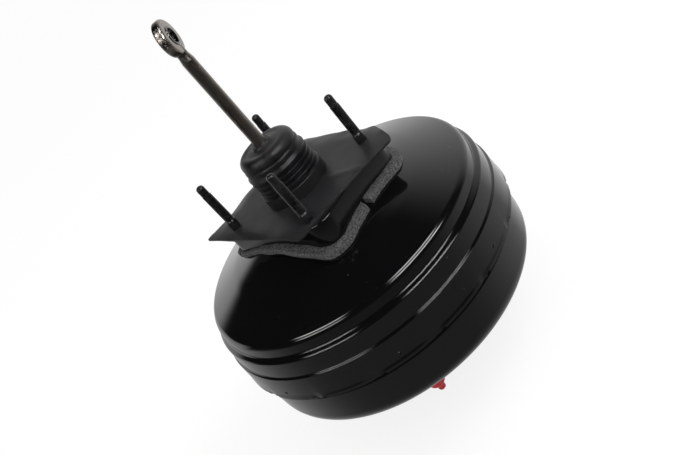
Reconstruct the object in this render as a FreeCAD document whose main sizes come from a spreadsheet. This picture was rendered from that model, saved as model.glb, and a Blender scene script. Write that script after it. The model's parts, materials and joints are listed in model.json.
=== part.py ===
import FreeCAD
import Part
import Sketcher
import math
import os

from FreeCAD import Placement, Rotation, Vector

# Tandem vacuum brake booster, in millimetres.
# The origin is the centre of the four firewall studs, on the face that meets the firewall.
# +Z is the booster's axis towards the pedal, so every depth below is measured along -Z.

SIZES = {
    # Firewall side
    "stud_spacing_x": 96.0,
    "stud_spacing_y": 84.0,
    "stud_radius": 4.0,
    "stud_shank_step": 0.3,
    "stud_reach": 47.5,
    "stud_point_step": 0.9,
    "stud_point_round": 2.5,
    "stud_point_length": 7.5,
    "stud_head_radius": 6.5,
    "stud_head_height": 2.6,
    "gasket_thickness": 1.5,
    "gasket_hole_clearance": 0.4,
    "gasket_stud_clearance": 0.1,
    "gasket_left": 32.0,
    "gasket_front_left": 13.0,
    "gasket_front": 18.0,
    "gasket_front_right": 4.0,
    "gasket_right": 32.0,
    "gasket_back": 19.0,
    "gasket_back_left": 8.0,
    "gasket_corner": 10.0,
    "gasket_point": 2.0,
    "boss_room_x": 8.9,
    "boss_room_y": 0.9,
    "boss_corner": 16.0,
    "boss_edge": 4.0,
    "rear_plate_thickness": 3.0,
    "rear_plate_margin": 4.0,
    "foam_width": 8.0,
    "foam_height": 7.0,
    "foam_joint_y": 6.0,
    # Shells: heights down the axis, each from the level before, and widths outwards from the hub
    "wall": 1.6,
    "dome_radius_inner": 50.0,
    "dome_depth_inner": 18.5,
    "dome_drop": 13.5,
    "dome_bulge": 160.0,
    "dome_shoulder": 37.0,
    "rim_drop": 13.5,
    "rim_edge_round": 6.0,
    "rim_height": 11.0,
    "step_width": 5.2,
    "step_height": 3.5,
    "band_height": 14.6,
    "band_step": 1.4,
    "belt_height": 10.0,
    "skirt_flare": 2.4,
    "skirt_flare_height": 5.0,
    "skirt_overhang": 1.5,
    "crimp_width": 11.0,
    "crimp_count": 16,
    "crimp_angle": 15.1,
    "crimp_bite": 2.6,
    "crimp_slot_width": 5.0,
    "crimp_slot_height": 3.2,
    "crimp_slot_turn": 3.6,
    "vent_radius": 1.3,
    "vent_count": 8,
    "vent_angle": 3.0,
    "vent_drop": 0.5,
    "flange_gap": 0.15,
    "flange_width": 2.8,
    "bowl_floor": 41.6,
    "bowl_taper": 0.8,
    "bowl_corner": 16.0,
    "bowl_height": 47.5,
    "nose_margin": 21.0,
    "nose_slope": 15.0,
    "nose_height": 12.0,
    "nose_round": 6.0,
    "neck_top_gap": 0.5,
    # Master cylinder side
    "cylinder_stud_gap": 1.4,
    "cylinder_stud_reach": 28.0,
    "cylinder_stud_head_radius": 5.6,
    "cylinder_stud_tip_round": 1.2,
    "spring_seat_clearance": 0.4,
    "spring_seat_height": 3.2,
    "cylinder_hole_radius": 19.0,
    "front_plate_thickness": 2.5,
    "front_plate_margin": 5.0,
    # Divider and diaphragms
    "divider_thickness": 1.2,
    "divider_gap": 2.4,
    "divider_shelf": 10.2,
    "divider_drop": 8.0,
    "divider_well": 16.0,
    "divider_seat_lift": 0.3,
    "divider_hole_clearance": 1.0,
    "bead_height": 5.0,
    "seal_height": 5.0,
    "seal_width": 6.0,
    "seal_room": 3.0,
    "seal_gap": 0.08,
    "neck_seal_height": 8.0,
    "membrane": 1.8,
    "membrane_fold": 5.0,
    "fold_outer_round": 4.5,
    "fold_inner_round": 3.0,
    "fold_gap": 1.25,
    "piston_plate_thickness": 1.2,
    "piston_plate_rim": 4.6,
    "rear_piston_drop": 14.2,
    "front_piston_drop": 4.1,
    "retaining_ring_width": 4.8,
    # Power piston hub
    "hub_neck_radius": 19.0,
    "hub_neck_end": 36.0,
    "hub_neck_wall": 3.5,
    "hub_step": 5.0,
    "hub_nose_step": 4.0,
    "hub_nose_height": 8.7,
    "filter_bore_depth": 12.0,
    "poppet_shoulder": 2.3,
    "poppet_bore_height": 18.0,
    "air_passage": 2.4,
    "plunger_room": 2.0,
    "plunger_bore": 6.5,
    "reaction_wall": 7.0,
    "reaction_bore_height": 12.0,
    "vacuum_seat_inset": 1.2,
    "vacuum_seat_height": 1.4,
    "vacuum_seat_width": 0.8,
    "key_width": 12.0,
    "key_thickness": 3.0,
    "key_drop": 5.0,
    "key_play": 1.0,
    # Air valve plunger and input rod
    "plunger_clearance": 0.05,
    "plunger_head_clearance": 0.7,
    "plunger_head_height": 15.2,
    "plunger_nose_gap": 2.5,
    "plunger_groove_depth": 1.9,
    "plunger_groove_play": 3.0,
    "ball_radius": 4.5,
    "ball_drop": 2.1,
    "ball_clearance": 0.05,
    "retainer_wall": 1.6,
    "retainer_seat": 5.1,
    "retainer_height": 4.0,
    "rod_neck_radius": 3.2,
    "rod_neck_length": 13.5,
    "rod_radius": 5.4,
    "rod_collar_radius": 9.5,
    "rod_collar_height": 6.0,
    "rod_shoulder": 131.0,
    "rod_taper": 4.0,
    "rod_waist": 3.5,
    "eye_rise": 21.0,
    "eye_rim": 6.9,
    "eye_thickness": 8.0,
    "eye_angle": 39.0,
    "bush_bore": 6.1,
    "bush_wall": 1.8,
    "bush_overhang": 0.6,
    # Poppet, springs and filter
    "poppet_seat_gap": 0.2,
    "air_seat_gap": 0.4,
    "air_seat_overlap": 1.9,
    "poppet_face_thickness": 2.6,
    "poppet_play": 0.5,
    "poppet_tube": 1.2,
    "poppet_bead_height": 3.5,
    "cup_thickness": 1.2,
    "cup_lip": 0.5,
    "poppet_spring_room": 2.3,
    "poppet_spring_wire": 0.5,
    "poppet_spring_turns": 4,
    "collar_lip": 1.0,
    "return_spring_wire": 0.8,
    "return_spring_turns": 3,
    "main_spring_room": 4.2,
    "main_spring_wire": 2.0,
    "main_spring_turns": 5,
    "silencer_height": 6.0,
    "filter_height": 8.0,
    "filter_rod_gap": 3.8,
    # Output rod
    "disc_thickness": 5.0,
    "disc_clearance": 0.15,
    "output_head_thickness": 5.5,
    "output_rod_radius": 5.0,
    "output_rod_round": 3.0,
    "output_rod_stand_out": 2.0,
    "output_clip_thickness": 1.2,
    # Dust boot
    "boot_wall": 2.0,
    "boot_neck_gap": 1.0,
    "boot_base_lip": 1.2,
    "boot_base_height": 10.5,
    "boot_rib_depth": 2.8,
    "boot_rib_count": 4,
    "boot_rib_pitch": 4.6,
    "boot_rib_slope": 0.8,
    "boot_rib_crest": 1.6,
    "boot_shoulder_step": 1.2,
    "boot_shoulder_rise": 6.6,
    "boot_groove_depth": 1.6,
    "boot_cap_step": 1.2,
    "boot_cap_round": 6.0,
    "boot_cap_height": 10.5,
    "boot_collar_radius": 8.2,
    "boot_rod_gap": 0.3,
    # Vacuum check valve
    "valve_angle": -43.5,
    "valve_stem_radius": 7.0,
    "valve_stem_lip": 0.8,
    "grommet_wall": 2.5,
    "grommet_flange": 3.0,
    "grommet_lip": 3.6,
    "valve_dome_wall": 3.4,
    "valve_dome_height": 9.5,
    "valve_dome_round": 3.0,
    "valve_chamber_radius": 7.6,
    "valve_disc_clearance": 1.0,
    "valve_disc_thickness": 1.5,
    "valve_spring_room": 1.0,
    "valve_spring_wire": 0.35,
    "valve_spring_turns": 3,
    "valve_throat": 3.0,
    "nozzle_radius": 5.0,
    "nozzle_length": 17.0,
    "nozzle_barb": 0.9,
    "nozzle_barb_length": 2.7,
    "cap_wall": 1.5,
    "cap_flange_width": 3.8,
    "cap_gap": 0.1,
}


class Size:
    """A length that knows its formula in the sheet and its present value."""

    def __init__(self, formula, value):
        self.formula = formula
        self.value = value

    @staticmethod
    def of(thing):
        return thing if isinstance(thing, Size) else Size(repr(float(thing)), float(thing))

    def __add__(self, other):
        other = Size.of(other)
        return Size("(%s + %s)" % (self.formula, other.formula), self.value + other.value)

    def __sub__(self, other):
        other = Size.of(other)
        return Size("(%s - %s)" % (self.formula, other.formula), self.value - other.value)

    def __mul__(self, other):
        other = Size.of(other)
        return Size("(%s * %s)" % (self.formula, other.formula), self.value * other.value)

    def __truediv__(self, other):
        other = Size.of(other)
        return Size("(%s / %s)" % (self.formula, other.formula), self.value / other.value)

    def __neg__(self):
        return Size("(0 - %s)" % self.formula, -self.value)

    __radd__ = __add__
    __rmul__ = __mul__


class Sheet:
    """The driving dimensions, each read as a Size by its name."""

    def __init__(self, doc, sizes):
        self.sheet = doc.addObject("Spreadsheet::Sheet", "Sizes")
        for row, (name, value) in enumerate(sizes.items(), start=1):
            self.sheet.set("A%d" % row, name)
            self.sheet.set("B%d" % row, str(value))
            self.sheet.setAlias("B%d" % row, name)
        doc.recompute()

    def __getattr__(self, name):
        return Size("Sizes.%s" % name, float(getattr(self.sheet, name)))


doc = FreeCAD.newDocument("BrakeBooster")
s = Sheet(doc, SIZES)
ZERO = Size("0", 0.0)
OVERCUT = 1.0  # how far a cut starts and ends outside the piece that it cuts
SAME_HEIGHT = 1e-4
parts = []


# Sizes that follow from the sheet, first the radii from the hub outwards

s.stud_shank_radius = s.stud_radius + s.stud_shank_step
s.stud_point_radius = s.stud_radius - s.stud_point_step
s.boss_length = s.stud_spacing_x + (s.stud_head_radius + s.wall + s.boss_room_x) * 2
s.boss_width = s.stud_spacing_y + (s.stud_head_radius + s.wall + s.boss_room_y) * 2
s.hub_radius = s.hub_neck_radius + s.hub_step
s.hub_nose_radius = s.hub_radius - s.hub_nose_step
s.reaction_bore = s.hub_nose_radius - s.reaction_wall
s.filter_bore = s.hub_neck_radius - s.hub_neck_wall
s.poppet_bore = s.filter_bore - s.poppet_shoulder
s.vacuum_seat_radius = s.poppet_bore - s.vacuum_seat_inset
s.plunger_head_bore = s.vacuum_seat_radius - s.air_passage
s.plunger_head_radius = s.plunger_head_bore - s.plunger_head_clearance
s.plunger_groove_radius = s.plunger_bore - s.plunger_groove_depth
s.poppet_hole = s.plunger_head_radius - s.air_seat_overlap
s.poppet_spring_radius = s.poppet_hole + s.poppet_spring_room
s.return_spring_radius = s.rod_collar_radius - s.collar_lip
s.cup_hole = s.return_spring_radius - s.cup_lip
s.filter_hole = s.rod_radius + s.filter_rod_gap
s.retainer_radius = s.ball_radius + s.retainer_wall
s.neck_bore = s.hub_neck_radius + s.seal_room
s.boot_rib_root = s.neck_bore + s.wall + s.boot_neck_gap
s.boot_rib_radius = s.boot_rib_root + s.boot_rib_depth
s.boot_base_radius = s.boot_rib_radius + s.boot_base_lip
s.boot_shoulder_radius = s.boot_rib_root + s.boot_shoulder_step
s.boot_groove_radius = s.boot_shoulder_radius - s.boot_groove_depth
s.boot_cap_radius = s.boot_groove_radius + s.boot_cap_step
s.retaining_ring_radius = s.hub_nose_radius + s.retaining_ring_width
s.main_spring_radius = s.retaining_ring_radius + s.main_spring_room + s.main_spring_wire
s.cylinder_stud_place = (s.main_spring_radius + s.main_spring_wire + s.cylinder_stud_gap
                         + s.cylinder_stud_head_radius)
s.nose_radius = s.cylinder_stud_place + s.nose_margin
s.nose_outer_radius = s.nose_radius + s.nose_slope
s.bowl_radius = s.nose_outer_radius + s.bowl_floor + s.bowl_corner
s.skirt_radius = s.bowl_radius + s.flange_width + s.wall
s.step_radius = s.skirt_radius - s.skirt_flare - s.band_step
s.rim_radius = s.step_radius - s.step_width
s.dome_radius_middle = s.rim_radius - s.dome_shoulder
s.divider_radius = s.bowl_radius - s.divider_gap
s.divider_well_radius = s.divider_radius - s.divider_shelf
s.piston_plate_radius = (s.divider_well_radius - s.fold_gap - s.membrane * 2 - s.membrane_fold * 2
                         - s.flange_gap)
s.grommet_waist = s.valve_stem_radius + s.grommet_wall
s.grommet_radius = s.grommet_waist + s.grommet_flange
s.valve_circle = s.nose_outer_radius + s.bowl_floor / 2
s.valve_dome_radius = s.valve_chamber_radius + s.valve_dome_wall
s.valve_disc_radius = s.valve_chamber_radius - s.valve_disc_clearance
s.eye_bore = s.bush_bore + s.bush_wall
s.eye_radius = s.eye_bore + s.eye_rim

# The heights, each from the level before

s.dome_depth_middle = s.dome_depth_inner + s.dome_drop
s.rim_edge_depth = s.dome_depth_middle + s.rim_drop
s.rim_depth = s.rim_edge_depth + s.rim_height
s.step_depth = s.rim_depth + s.step_height
s.band_depth = s.step_depth + s.band_height
s.skirt_flare_depth = s.band_depth + s.band_step + s.belt_height
s.skirt_start_depth = s.skirt_flare_depth + s.skirt_flare_height
s.divider_flange_depth = s.skirt_start_depth - s.divider_seat_lift
s.flange_depth = s.divider_flange_depth + s.divider_thickness + s.bead_height
s.skirt_depth = s.flange_depth + s.wall + s.skirt_overhang
s.vent_depth = s.skirt_start_depth + s.vent_drop
s.bowl_depth = s.flange_depth + s.wall + s.bowl_height
s.nose_depth = s.bowl_depth + s.nose_height
s.divider_top_depth = s.step_depth + s.divider_drop
s.divider_depth = s.divider_top_depth + s.divider_well
s.rear_piston_depth = s.dome_depth_middle + s.rear_piston_drop
s.front_piston_depth = s.divider_depth + s.divider_thickness + s.front_piston_drop
s.hub_end_depth = s.front_piston_depth - s.membrane
s.hub_nose_depth = s.front_piston_depth + s.hub_nose_height
s.reaction_bore_depth = s.hub_nose_depth - s.reaction_bore_height
s.poppet_bore_depth = s.filter_bore_depth + s.poppet_bore_height
s.poppet_face_depth = s.poppet_bore_depth - s.vacuum_seat_height - s.poppet_seat_gap
s.plunger_head_start = s.poppet_face_depth + s.air_seat_gap
s.plunger_head_end = s.plunger_head_start + s.plunger_head_height
s.plunger_head_bore_depth = s.plunger_head_end + s.plunger_room
s.plunger_end = s.reaction_bore_depth - s.plunger_nose_gap
s.key_depth = s.plunger_head_bore_depth + s.key_drop
s.retainer_depth = s.plunger_head_start + s.retainer_seat
s.ball_depth = s.retainer_depth + s.ball_drop
s.output_rod_depth = s.nose_depth + s.output_rod_stand_out
s.neck_height = s.boot_base_height - s.boot_wall - s.neck_top_gap
s.boot_ribs_top = s.boot_base_height + s.boot_rib_pitch * s.boot_rib_count
s.boot_shoulder_height = s.boot_ribs_top + s.boot_shoulder_rise
s.boot_height = s.boot_shoulder_height + s.boot_cap_height
s.eye_height = s.rod_shoulder + s.eye_rise


# Helpers for bodies, sketches and features

def new_body(label):
    body = doc.addObject("PartDesign::Body", label)
    body.Label = label
    return body


def finished(label, thing):
    """Note a sub-part as ready for export under its label."""
    thing.Label = label
    parts.append(thing)
    return thing


def origin_feature(body, role):
    return [item for item in body.Origin.OriginFeatures if item.Role == role][0]


def sketch_on(body, role, name, shift=None):
    """A sketch on one of the body's own origin planes, moved by (x, y, along the normal)."""
    sketch = body.newObject("Sketcher::SketchObject", name)
    sketch.AttachmentSupport = [(origin_feature(body, role), "")]
    sketch.MapMode = "FlatFace"
    for axis, amount in zip("xyz", shift or ()):
        sketch.setExpression("AttachmentOffset.Base.%s" % axis, Size.of(amount).formula)
    return sketch


def bind_point(sketch, geometry, position, x, y):
    """Fix a sketch point by two distances from the sketch's origin."""
    indexes = sketch.addConstraint([
        Sketcher.Constraint("DistanceX", -1, 1, geometry, position, x.value),
        Sketcher.Constraint("DistanceY", -1, 1, geometry, position, y.value),
    ])
    sketch.setExpression("Constraints[%d]" % indexes[0], x.formula)
    sketch.setExpression("Constraints[%d]" % indexes[1], y.formula)


def bind_radius(sketch, geometry, radius):
    index = sketch.addConstraint(Sketcher.Constraint("Radius", geometry, radius.value))
    sketch.setExpression("Constraints[%d]" % index, radius.formula)


def draw_circle(sketch, x, y, radius):
    x, y, radius = Size.of(x), Size.of(y), Size.of(radius)
    centre = Vector(x.value, y.value, 0)
    circle = sketch.addGeometry(Part.Circle(centre, Vector(0, 0, 1), radius.value))
    bind_point(sketch, circle, 3, x, y)
    bind_radius(sketch, circle, radius)


def draw_outline(sketch, corners):
    """A closed outline through corners (x, y) or (x, y, rounding), every one bound to the sheet."""
    corners = [tuple(Size.of(item) for item in corner) for corner in corners]
    places = [Vector(corner[0].value, corner[1].value, 0) for corner in corners]
    count = len(corners)
    entries, exits, arcs = [], [], {}
    for index, corner in enumerate(corners):
        here = places[index]
        if len(corner) == 2:
            entries.append(here)
            exits.append(here)
            continue
        back = (places[index - 1] - here).normalize()
        ahead = (places[(index + 1) % count] - here).normalize()
        half = back.getAngle(ahead) / 2
        radius = corner[2].value
        entries.append(here + back * (radius / math.tan(half)))
        exits.append(here + ahead * (radius / math.tan(half)))
        centre = here + (back + ahead).normalize() * (radius / math.sin(half))
        left_turn = back.cross(ahead).z < 0
        first, last = (entries[-1], exits[-1]) if left_turn else (exits[-1], entries[-1])
        angles = [math.atan2(point.y - centre.y, point.x - centre.x) for point in (first, last)]
        circle = Part.Circle(centre, Vector(0, 0, 1), radius)
        arcs[index] = (Part.ArcOfCircle(circle, angles[0], angles[1]), left_turn)
    lines = sketch.addGeometry([
        Part.LineSegment(exits[index], entries[(index + 1) % count]) for index in range(count)
    ])
    constraints = []
    for index, corner in enumerate(corners):
        before, after = lines[index - 1], lines[index]
        if len(corner) == 2:
            constraints.append(Sketcher.Constraint("Coincident", before, 2, after, 1))
    sketch.addConstraint(constraints)
    for index, corner in enumerate(corners):
        before, after = lines[index - 1], lines[index]
        if len(corner) == 2:
            bind_point(sketch, after, 1, corner[0], corner[1])
            continue
        geometry, left_turn = arcs[index]
        arc = sketch.addGeometry(geometry)
        point = sketch.addGeometry(Part.Point(places[index]), True)
        start, end = (1, 2) if left_turn else (2, 1)
        sketch.addConstraint([
            Sketcher.Constraint("Tangent", before, 2, arc, start),
            Sketcher.Constraint("Tangent", after, 1, arc, end),
            Sketcher.Constraint("PointOnObject", point, 1, before),
            Sketcher.Constraint("PointOnObject", point, 1, after),
        ])
        bind_point(sketch, point, 1, corner[0], corner[1])
        bind_radius(sketch, arc, corner[2])


def turned_sketch(body, corners, name, at):
    x, y = at
    sketch = sketch_on(body, "XZ_Plane", name, (x, ZERO, -Size.of(y)))
    draw_outline(sketch, corners)
    return sketch


def turn(body, corners, name="Turned", at=(ZERO, ZERO)):
    """Revolve an outline of (radius, z) corners about the vertical line at a place."""
    sketch = turned_sketch(body, corners, name + "Outline", at)
    feature = body.newObject("PartDesign::Revolution", name)
    feature.Profile = sketch
    feature.ReferenceAxis = (sketch, ["V_Axis"])
    feature.Angle = 360
    return feature


def turn_away(body, corners, name="Groove", at=(ZERO, ZERO)):
    """Cut a revolved outline out of a body."""
    sketch = turned_sketch(body, corners, name + "Outline", at)
    feature = body.newObject("PartDesign::Groove", name)
    feature.Profile = sketch
    feature.ReferenceAxis = (sketch, ["V_Axis"])
    feature.Angle = 360
    return feature


def box_corners(x0, x1, y0, y1, rounding=None):
    corners = [(x0, y0), (x1, y0), (x1, y1), (x0, y1)]
    return [corner + (rounding,) for corner in corners] if rounding is not None else corners


def pad(body, draw, bottom, height, name="Pad"):
    """Raise a drawing from z = bottom by a height."""
    sketch = sketch_on(body, "XY_Plane", name + "Outline", (ZERO, ZERO, bottom))
    draw(sketch)
    feature = body.newObject("PartDesign::Pad", name)
    feature.Profile = sketch
    feature.setExpression("Length", Size.of(height).formula)
    return feature


def drill(body, draw, top, depth, name="Cut"):
    """Cut a drawing down from z = top by a depth."""
    sketch = sketch_on(body, "XY_Plane", name + "Outline", (ZERO, ZERO, top))
    draw(sketch)
    feature = body.newObject("PartDesign::Pocket", name)
    feature.Profile = sketch
    feature.setExpression("Length", Size.of(depth).formula)
    return feature


def repeat_round(body, features, count, name="Round"):
    """Repeat features round the booster's axis."""
    pattern = body.newObject("PartDesign::PolarPattern", name)
    pattern.Originals = features
    pattern.Axis = (origin_feature(body, "Z_Axis"), [""])
    pattern.Angle = 360
    pattern.setExpression("Occurrences", count.formula)
    body.Tip = pattern
    return pattern


def ring(label, inner, outer, bottom, top, at=(ZERO, ZERO)):
    """A plain ring, or a disc when the inner radius is zero."""
    body = new_body(label)
    turn(body, box_corners(inner, outer, bottom, top), at=at)
    return finished(label, body)


def coil(label, radius, wire, bottom, top, turns, at=(ZERO, ZERO)):
    """A helical spring between bottom and top, its round wire drawn with six flats."""
    helix = doc.addObject("Part::Helix", label + "_path")
    rise = Size.of(top) - bottom - Size.of(wire) * 2
    helix.setExpression("Radius", Size.of(radius).formula)
    helix.setExpression("Pitch", (rise / turns).formula)
    helix.setExpression("Height", rise.formula)
    helix.setExpression("Placement.Base.x", Size.of(at[0]).formula)
    helix.setExpression("Placement.Base.y", Size.of(at[1]).formula)
    helix.setExpression("Placement.Base.z", (bottom + wire).formula)
    section = doc.addObject("Part::RegularPolygon", label + "_wire")
    section.Polygon = 6
    section.setExpression("Circumradius", Size.of(wire).formula)
    section.Placement = Placement(Vector(0, 0, 0), Rotation(Vector(1, 0, 0), 90))
    section.setExpression("Placement.Base.x", (Size.of(radius) + at[0]).formula)
    section.setExpression("Placement.Base.y", Size.of(at[1]).formula)
    section.setExpression("Placement.Base.z", (bottom + wire).formula)
    sweep = doc.addObject("Part::Sweep", label)
    sweep.Sections = [section]
    sweep.Spine = (helix, ["Edge1"])
    sweep.Solid = True
    sweep.Frenet = True
    return finished(label, sweep)


def at_angle(radius, angle):
    """The place at a radius and an angle in degrees about the axis."""
    x = Size("(%s * cos(%s * 1 deg))" % (radius.formula, angle.formula),
             radius.value * math.cos(math.radians(angle.value)))
    y = Size("(%s * sin(%s * 1 deg))" % (radius.formula, angle.formula),
             radius.value * math.sin(math.radians(angle.value)))
    return x, y


# Places that several pieces share

boss_top = -s.gasket_thickness
boss_inside = boss_top - s.wall
rear_plate_bottom = boss_inside - s.rear_plate_thickness
nose_inside = -s.nose_depth + s.wall
front_plate_top = nose_inside + s.front_plate_thickness
bowl_face = -s.bowl_depth
flange_top = -s.flange_depth
bead_top = flange_top + s.bead_height
flange_bottom = flange_top - s.wall
stud_x = s.stud_spacing_x / 2
stud_y = s.stud_spacing_y / 2
stud_places = [(stud_x * side_x, stud_y * side_y) for side_x in (-1, 1) for side_y in (-1, 1)]
cylinder_stud_places = [(s.cylinder_stud_place * side, ZERO) for side in (-1, 1)]
valve_place = at_angle(s.valve_circle, s.valve_angle)


def shell_line(offset):
    """The rear shell's outer line from the middle of the dome to the skirt, moved inwards."""
    return [
        (s.dome_radius_inner, -s.dome_depth_inner - offset),
        (s.dome_radius_middle, -s.dome_depth_middle - offset, s.dome_bulge),
        (s.rim_radius - offset, -s.rim_edge_depth - offset, s.rim_edge_round),
        (s.rim_radius - offset, -s.rim_depth - offset),
        (s.step_radius - offset, -s.step_depth - offset),
        (s.step_radius - offset, -s.band_depth - offset),
        (s.step_radius + s.band_step - offset, -s.band_depth - s.band_step - offset),
        (s.step_radius + s.band_step - offset, -s.skirt_flare_depth),
        (s.skirt_radius - offset, -s.skirt_start_depth),
        (s.skirt_radius - offset, -s.skirt_depth),
    ]


def boss_outline(inset, corner):
    half_x = s.boss_length / 2 - inset
    half_y = s.boss_width / 2 - inset
    return box_corners(-half_x, half_x, -half_y, half_y, corner)


# Rear shell: dome, raised boss for the firewall, neck, stepped rim and crimped skirt

def make_rear_shell():
    body = new_body("rear_shell")
    turn(body, shell_line(ZERO) + [(ZERO, -s.skirt_depth), (ZERO, -s.dome_depth_inner)], "Dome")
    boss = pad(body, lambda k: draw_outline(k, boss_outline(ZERO, s.boss_corner)),
               -s.skirt_flare_depth, boss_top + s.skirt_flare_depth, "Boss")
    doc.recompute()
    edges = ["Edge%d" % (index + 1) for index, edge in enumerate(body.Shape.Edges)
             if abs(edge.BoundBox.ZMin - boss_top.value) < SAME_HEIGHT
             and abs(edge.BoundBox.ZMax - boss_top.value) < SAME_HEIGHT]
    rounding = body.newObject("PartDesign::Fillet", "BossEdge")
    rounding.Base = (boss, edges)
    rounding.setExpression("Radius", s.boss_edge.formula)
    turn_away(body, shell_line(s.wall) + [(ZERO, -s.skirt_depth), (ZERO, -s.dome_depth_inner - s.wall)],
              "Inside")
    drill(body, lambda k: draw_outline(k, boss_outline(s.wall, s.boss_corner - s.wall)),
          boss_inside, s.dome_depth_middle + s.wall + boss_inside, "BossInside")
    neck_outer = s.neck_bore + s.wall
    turn(body, box_corners(s.neck_bore, neck_outer, boss_inside, s.neck_height), "Neck")
    drill(body, lambda k: draw_circle(k, ZERO, ZERO, s.neck_bore), ZERO, s.skirt_depth, "NeckBore")
    drill(body, lambda k: [draw_circle(k, x, y, s.stud_shank_radius) for x, y in stud_places],
          ZERO, s.gasket_thickness + s.wall + OVERCUT, "StudHoles")
    add_crimps(body)
    return finished("rear_shell", body)


def add_crimps(body):
    """Tabs bent under the front shell's flange, each with the slit it was lanced from, and vents."""
    inner = s.skirt_radius - s.wall
    outer = s.skirt_radius + OVERCUT
    tab_height = flange_bottom - s.flange_gap + s.skirt_depth
    slot_angle = s.crimp_angle + s.crimp_slot_turn
    slot_top = s.crimp_slot_height - s.skirt_depth
    tab = pad(body, lambda k: draw_block(k, inner - s.crimp_bite, inner + s.wall / 2,
                                         s.crimp_width, s.crimp_angle),
              -s.skirt_depth, tab_height, "Tab")
    slot = drill(body, lambda k: draw_block(k, inner - s.wall / 2, outer, s.crimp_slot_width, slot_angle),
                 slot_top, s.crimp_slot_height, "Slot")
    repeat_round(body, [tab, slot], s.crimp_count, "Crimps")
    vent = drill_sideways(body, s.vent_angle, -s.vent_depth, s.vent_radius, inner - OVERCUT, outer)
    repeat_round(body, [vent], s.vent_count, "Vents")


def draw_block(sketch, inner, outer, width, angle):
    """A block between two radii, square to the radius at an angle."""
    x0, y0 = at_angle(inner, angle)
    x1, y1 = at_angle(outer, angle)
    dx, dy = at_angle(width / 2, angle + 90)
    draw_outline(sketch, [(x0 - dx, y0 - dy), (x1 - dx, y1 - dy), (x1 + dx, y1 + dy), (x0 + dx, y0 + dy)])


def drill_sideways(body, angle, z, radius, start, end):
    """A small square-ended slit through a wall, between two radii."""
    return drill(body, lambda k: draw_block(k, start, end, radius * 2, angle), z + radius, radius * 2, "Vent")


# Front shell: flange, bowl, conical step and the face that takes the master cylinder

def bowl_line(offset):
    return [
        (s.bowl_radius - offset, flange_top - offset),
        (s.bowl_radius - s.bowl_taper - offset, bowl_face + offset, s.bowl_corner - offset),
        (s.nose_outer_radius, bowl_face + offset, s.nose_round),
        (s.nose_radius, -s.nose_depth + offset, s.nose_round),
        (ZERO, -s.nose_depth + offset),
    ]


def make_front_shell():
    body = new_body("front_shell")
    turn(body, bowl_line(ZERO) + [(ZERO, flange_top)], "Bowl")
    flange_radius = s.skirt_radius - s.wall - s.flange_gap
    turn(body, box_corners(s.bowl_radius - s.wall, flange_radius, flange_bottom, flange_top), "Flange")
    inside = bowl_line(s.wall)
    inside[0] = (s.bowl_radius - s.wall, flange_top)
    turn_away(body, inside + [(ZERO, flange_top)], "Inside")
    through = s.wall + OVERCUT * 2
    drill(body, lambda k: draw_circle(k, ZERO, ZERO, s.cylinder_hole_radius),
          nose_inside + OVERCUT, through, "CylinderHole")
    drill(body, lambda k: [draw_circle(k, x, y, s.stud_shank_radius) for x, y in cylinder_stud_places],
          nose_inside + OVERCUT, through, "StudHoles")
    drill(body, lambda k: draw_circle(k, *valve_place, s.grommet_waist),
          bowl_face + s.wall + OVERCUT, through, "ValveHole")
    return finished("front_shell", body)


# Firewall side: gasket, foam, studs and the plate that carries them

def make_gasket():
    body = new_body("firewall_gasket")
    corner = s.gasket_corner
    corners = [
        (-stud_x - s.gasket_left, -stud_y - s.gasket_front_left, s.gasket_point),
        (stud_x + s.gasket_front_right, -stud_y - s.gasket_front, corner),
        (stud_x + s.gasket_right, stud_y, corner),
        (stud_x, stud_y + s.gasket_back, corner),
        (-stud_x - s.gasket_back_left, stud_y + s.gasket_back + s.gasket_back_left, corner),
        (-stud_x - s.gasket_left, -stud_y / 2, corner),
    ]
    pad(body, lambda k: draw_outline(k, corners), boss_top, s.gasket_thickness, "Sheet")
    hole = s.stud_shank_radius + s.gasket_stud_clearance
    neck = s.neck_bore + s.wall + s.gasket_hole_clearance
    drill(body, lambda k: [draw_circle(k, x, y, hole) for x, y in stud_places],
          ZERO, s.gasket_thickness, "StudHoles")
    drill(body, lambda k: draw_circle(k, ZERO, ZERO, neck), ZERO, s.gasket_thickness, "NeckHole")
    return finished("firewall_gasket", body)


def make_foam_strip(label, keep_low):
    """Half of the foam frame round the boss, following the dome underneath."""
    body = new_body(label)
    gap = s.flange_gap
    dome = shell_line(ZERO)[:3]
    reach = s.boss_length + s.boss_width
    under = [(radius, z + gap) + tuple(more) for radius, z, *more in dome]
    over = [(radius, z + gap + s.foam_height) + tuple(more) for radius, z, *more in dome]
    under[-1] = under[-1][:2]
    over[-1] = over[-1][:2]
    turn(body, under + over[::-1], "Layer")
    inner = boss_outline(-gap, s.boss_corner + gap)
    outer = boss_outline(-gap - s.foam_width, s.boss_corner + gap + s.foam_width)
    frame = box_corners(-reach, reach, -reach, reach)
    drill(body, lambda k: draw_outline(k, inner), ZERO, s.skirt_depth, "Window")
    drill(body, lambda k: [draw_outline(k, frame), draw_outline(k, outer)], ZERO, s.skirt_depth, "Trim")
    split = -s.foam_joint_y
    if keep_low:
        away = box_corners(-reach, reach, split - gap, reach)
    else:
        away = box_corners(-reach, reach, -reach, split)
    drill(body, lambda k: draw_outline(k, away), ZERO, s.skirt_depth, "Half")
    return finished(label, body)


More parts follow.
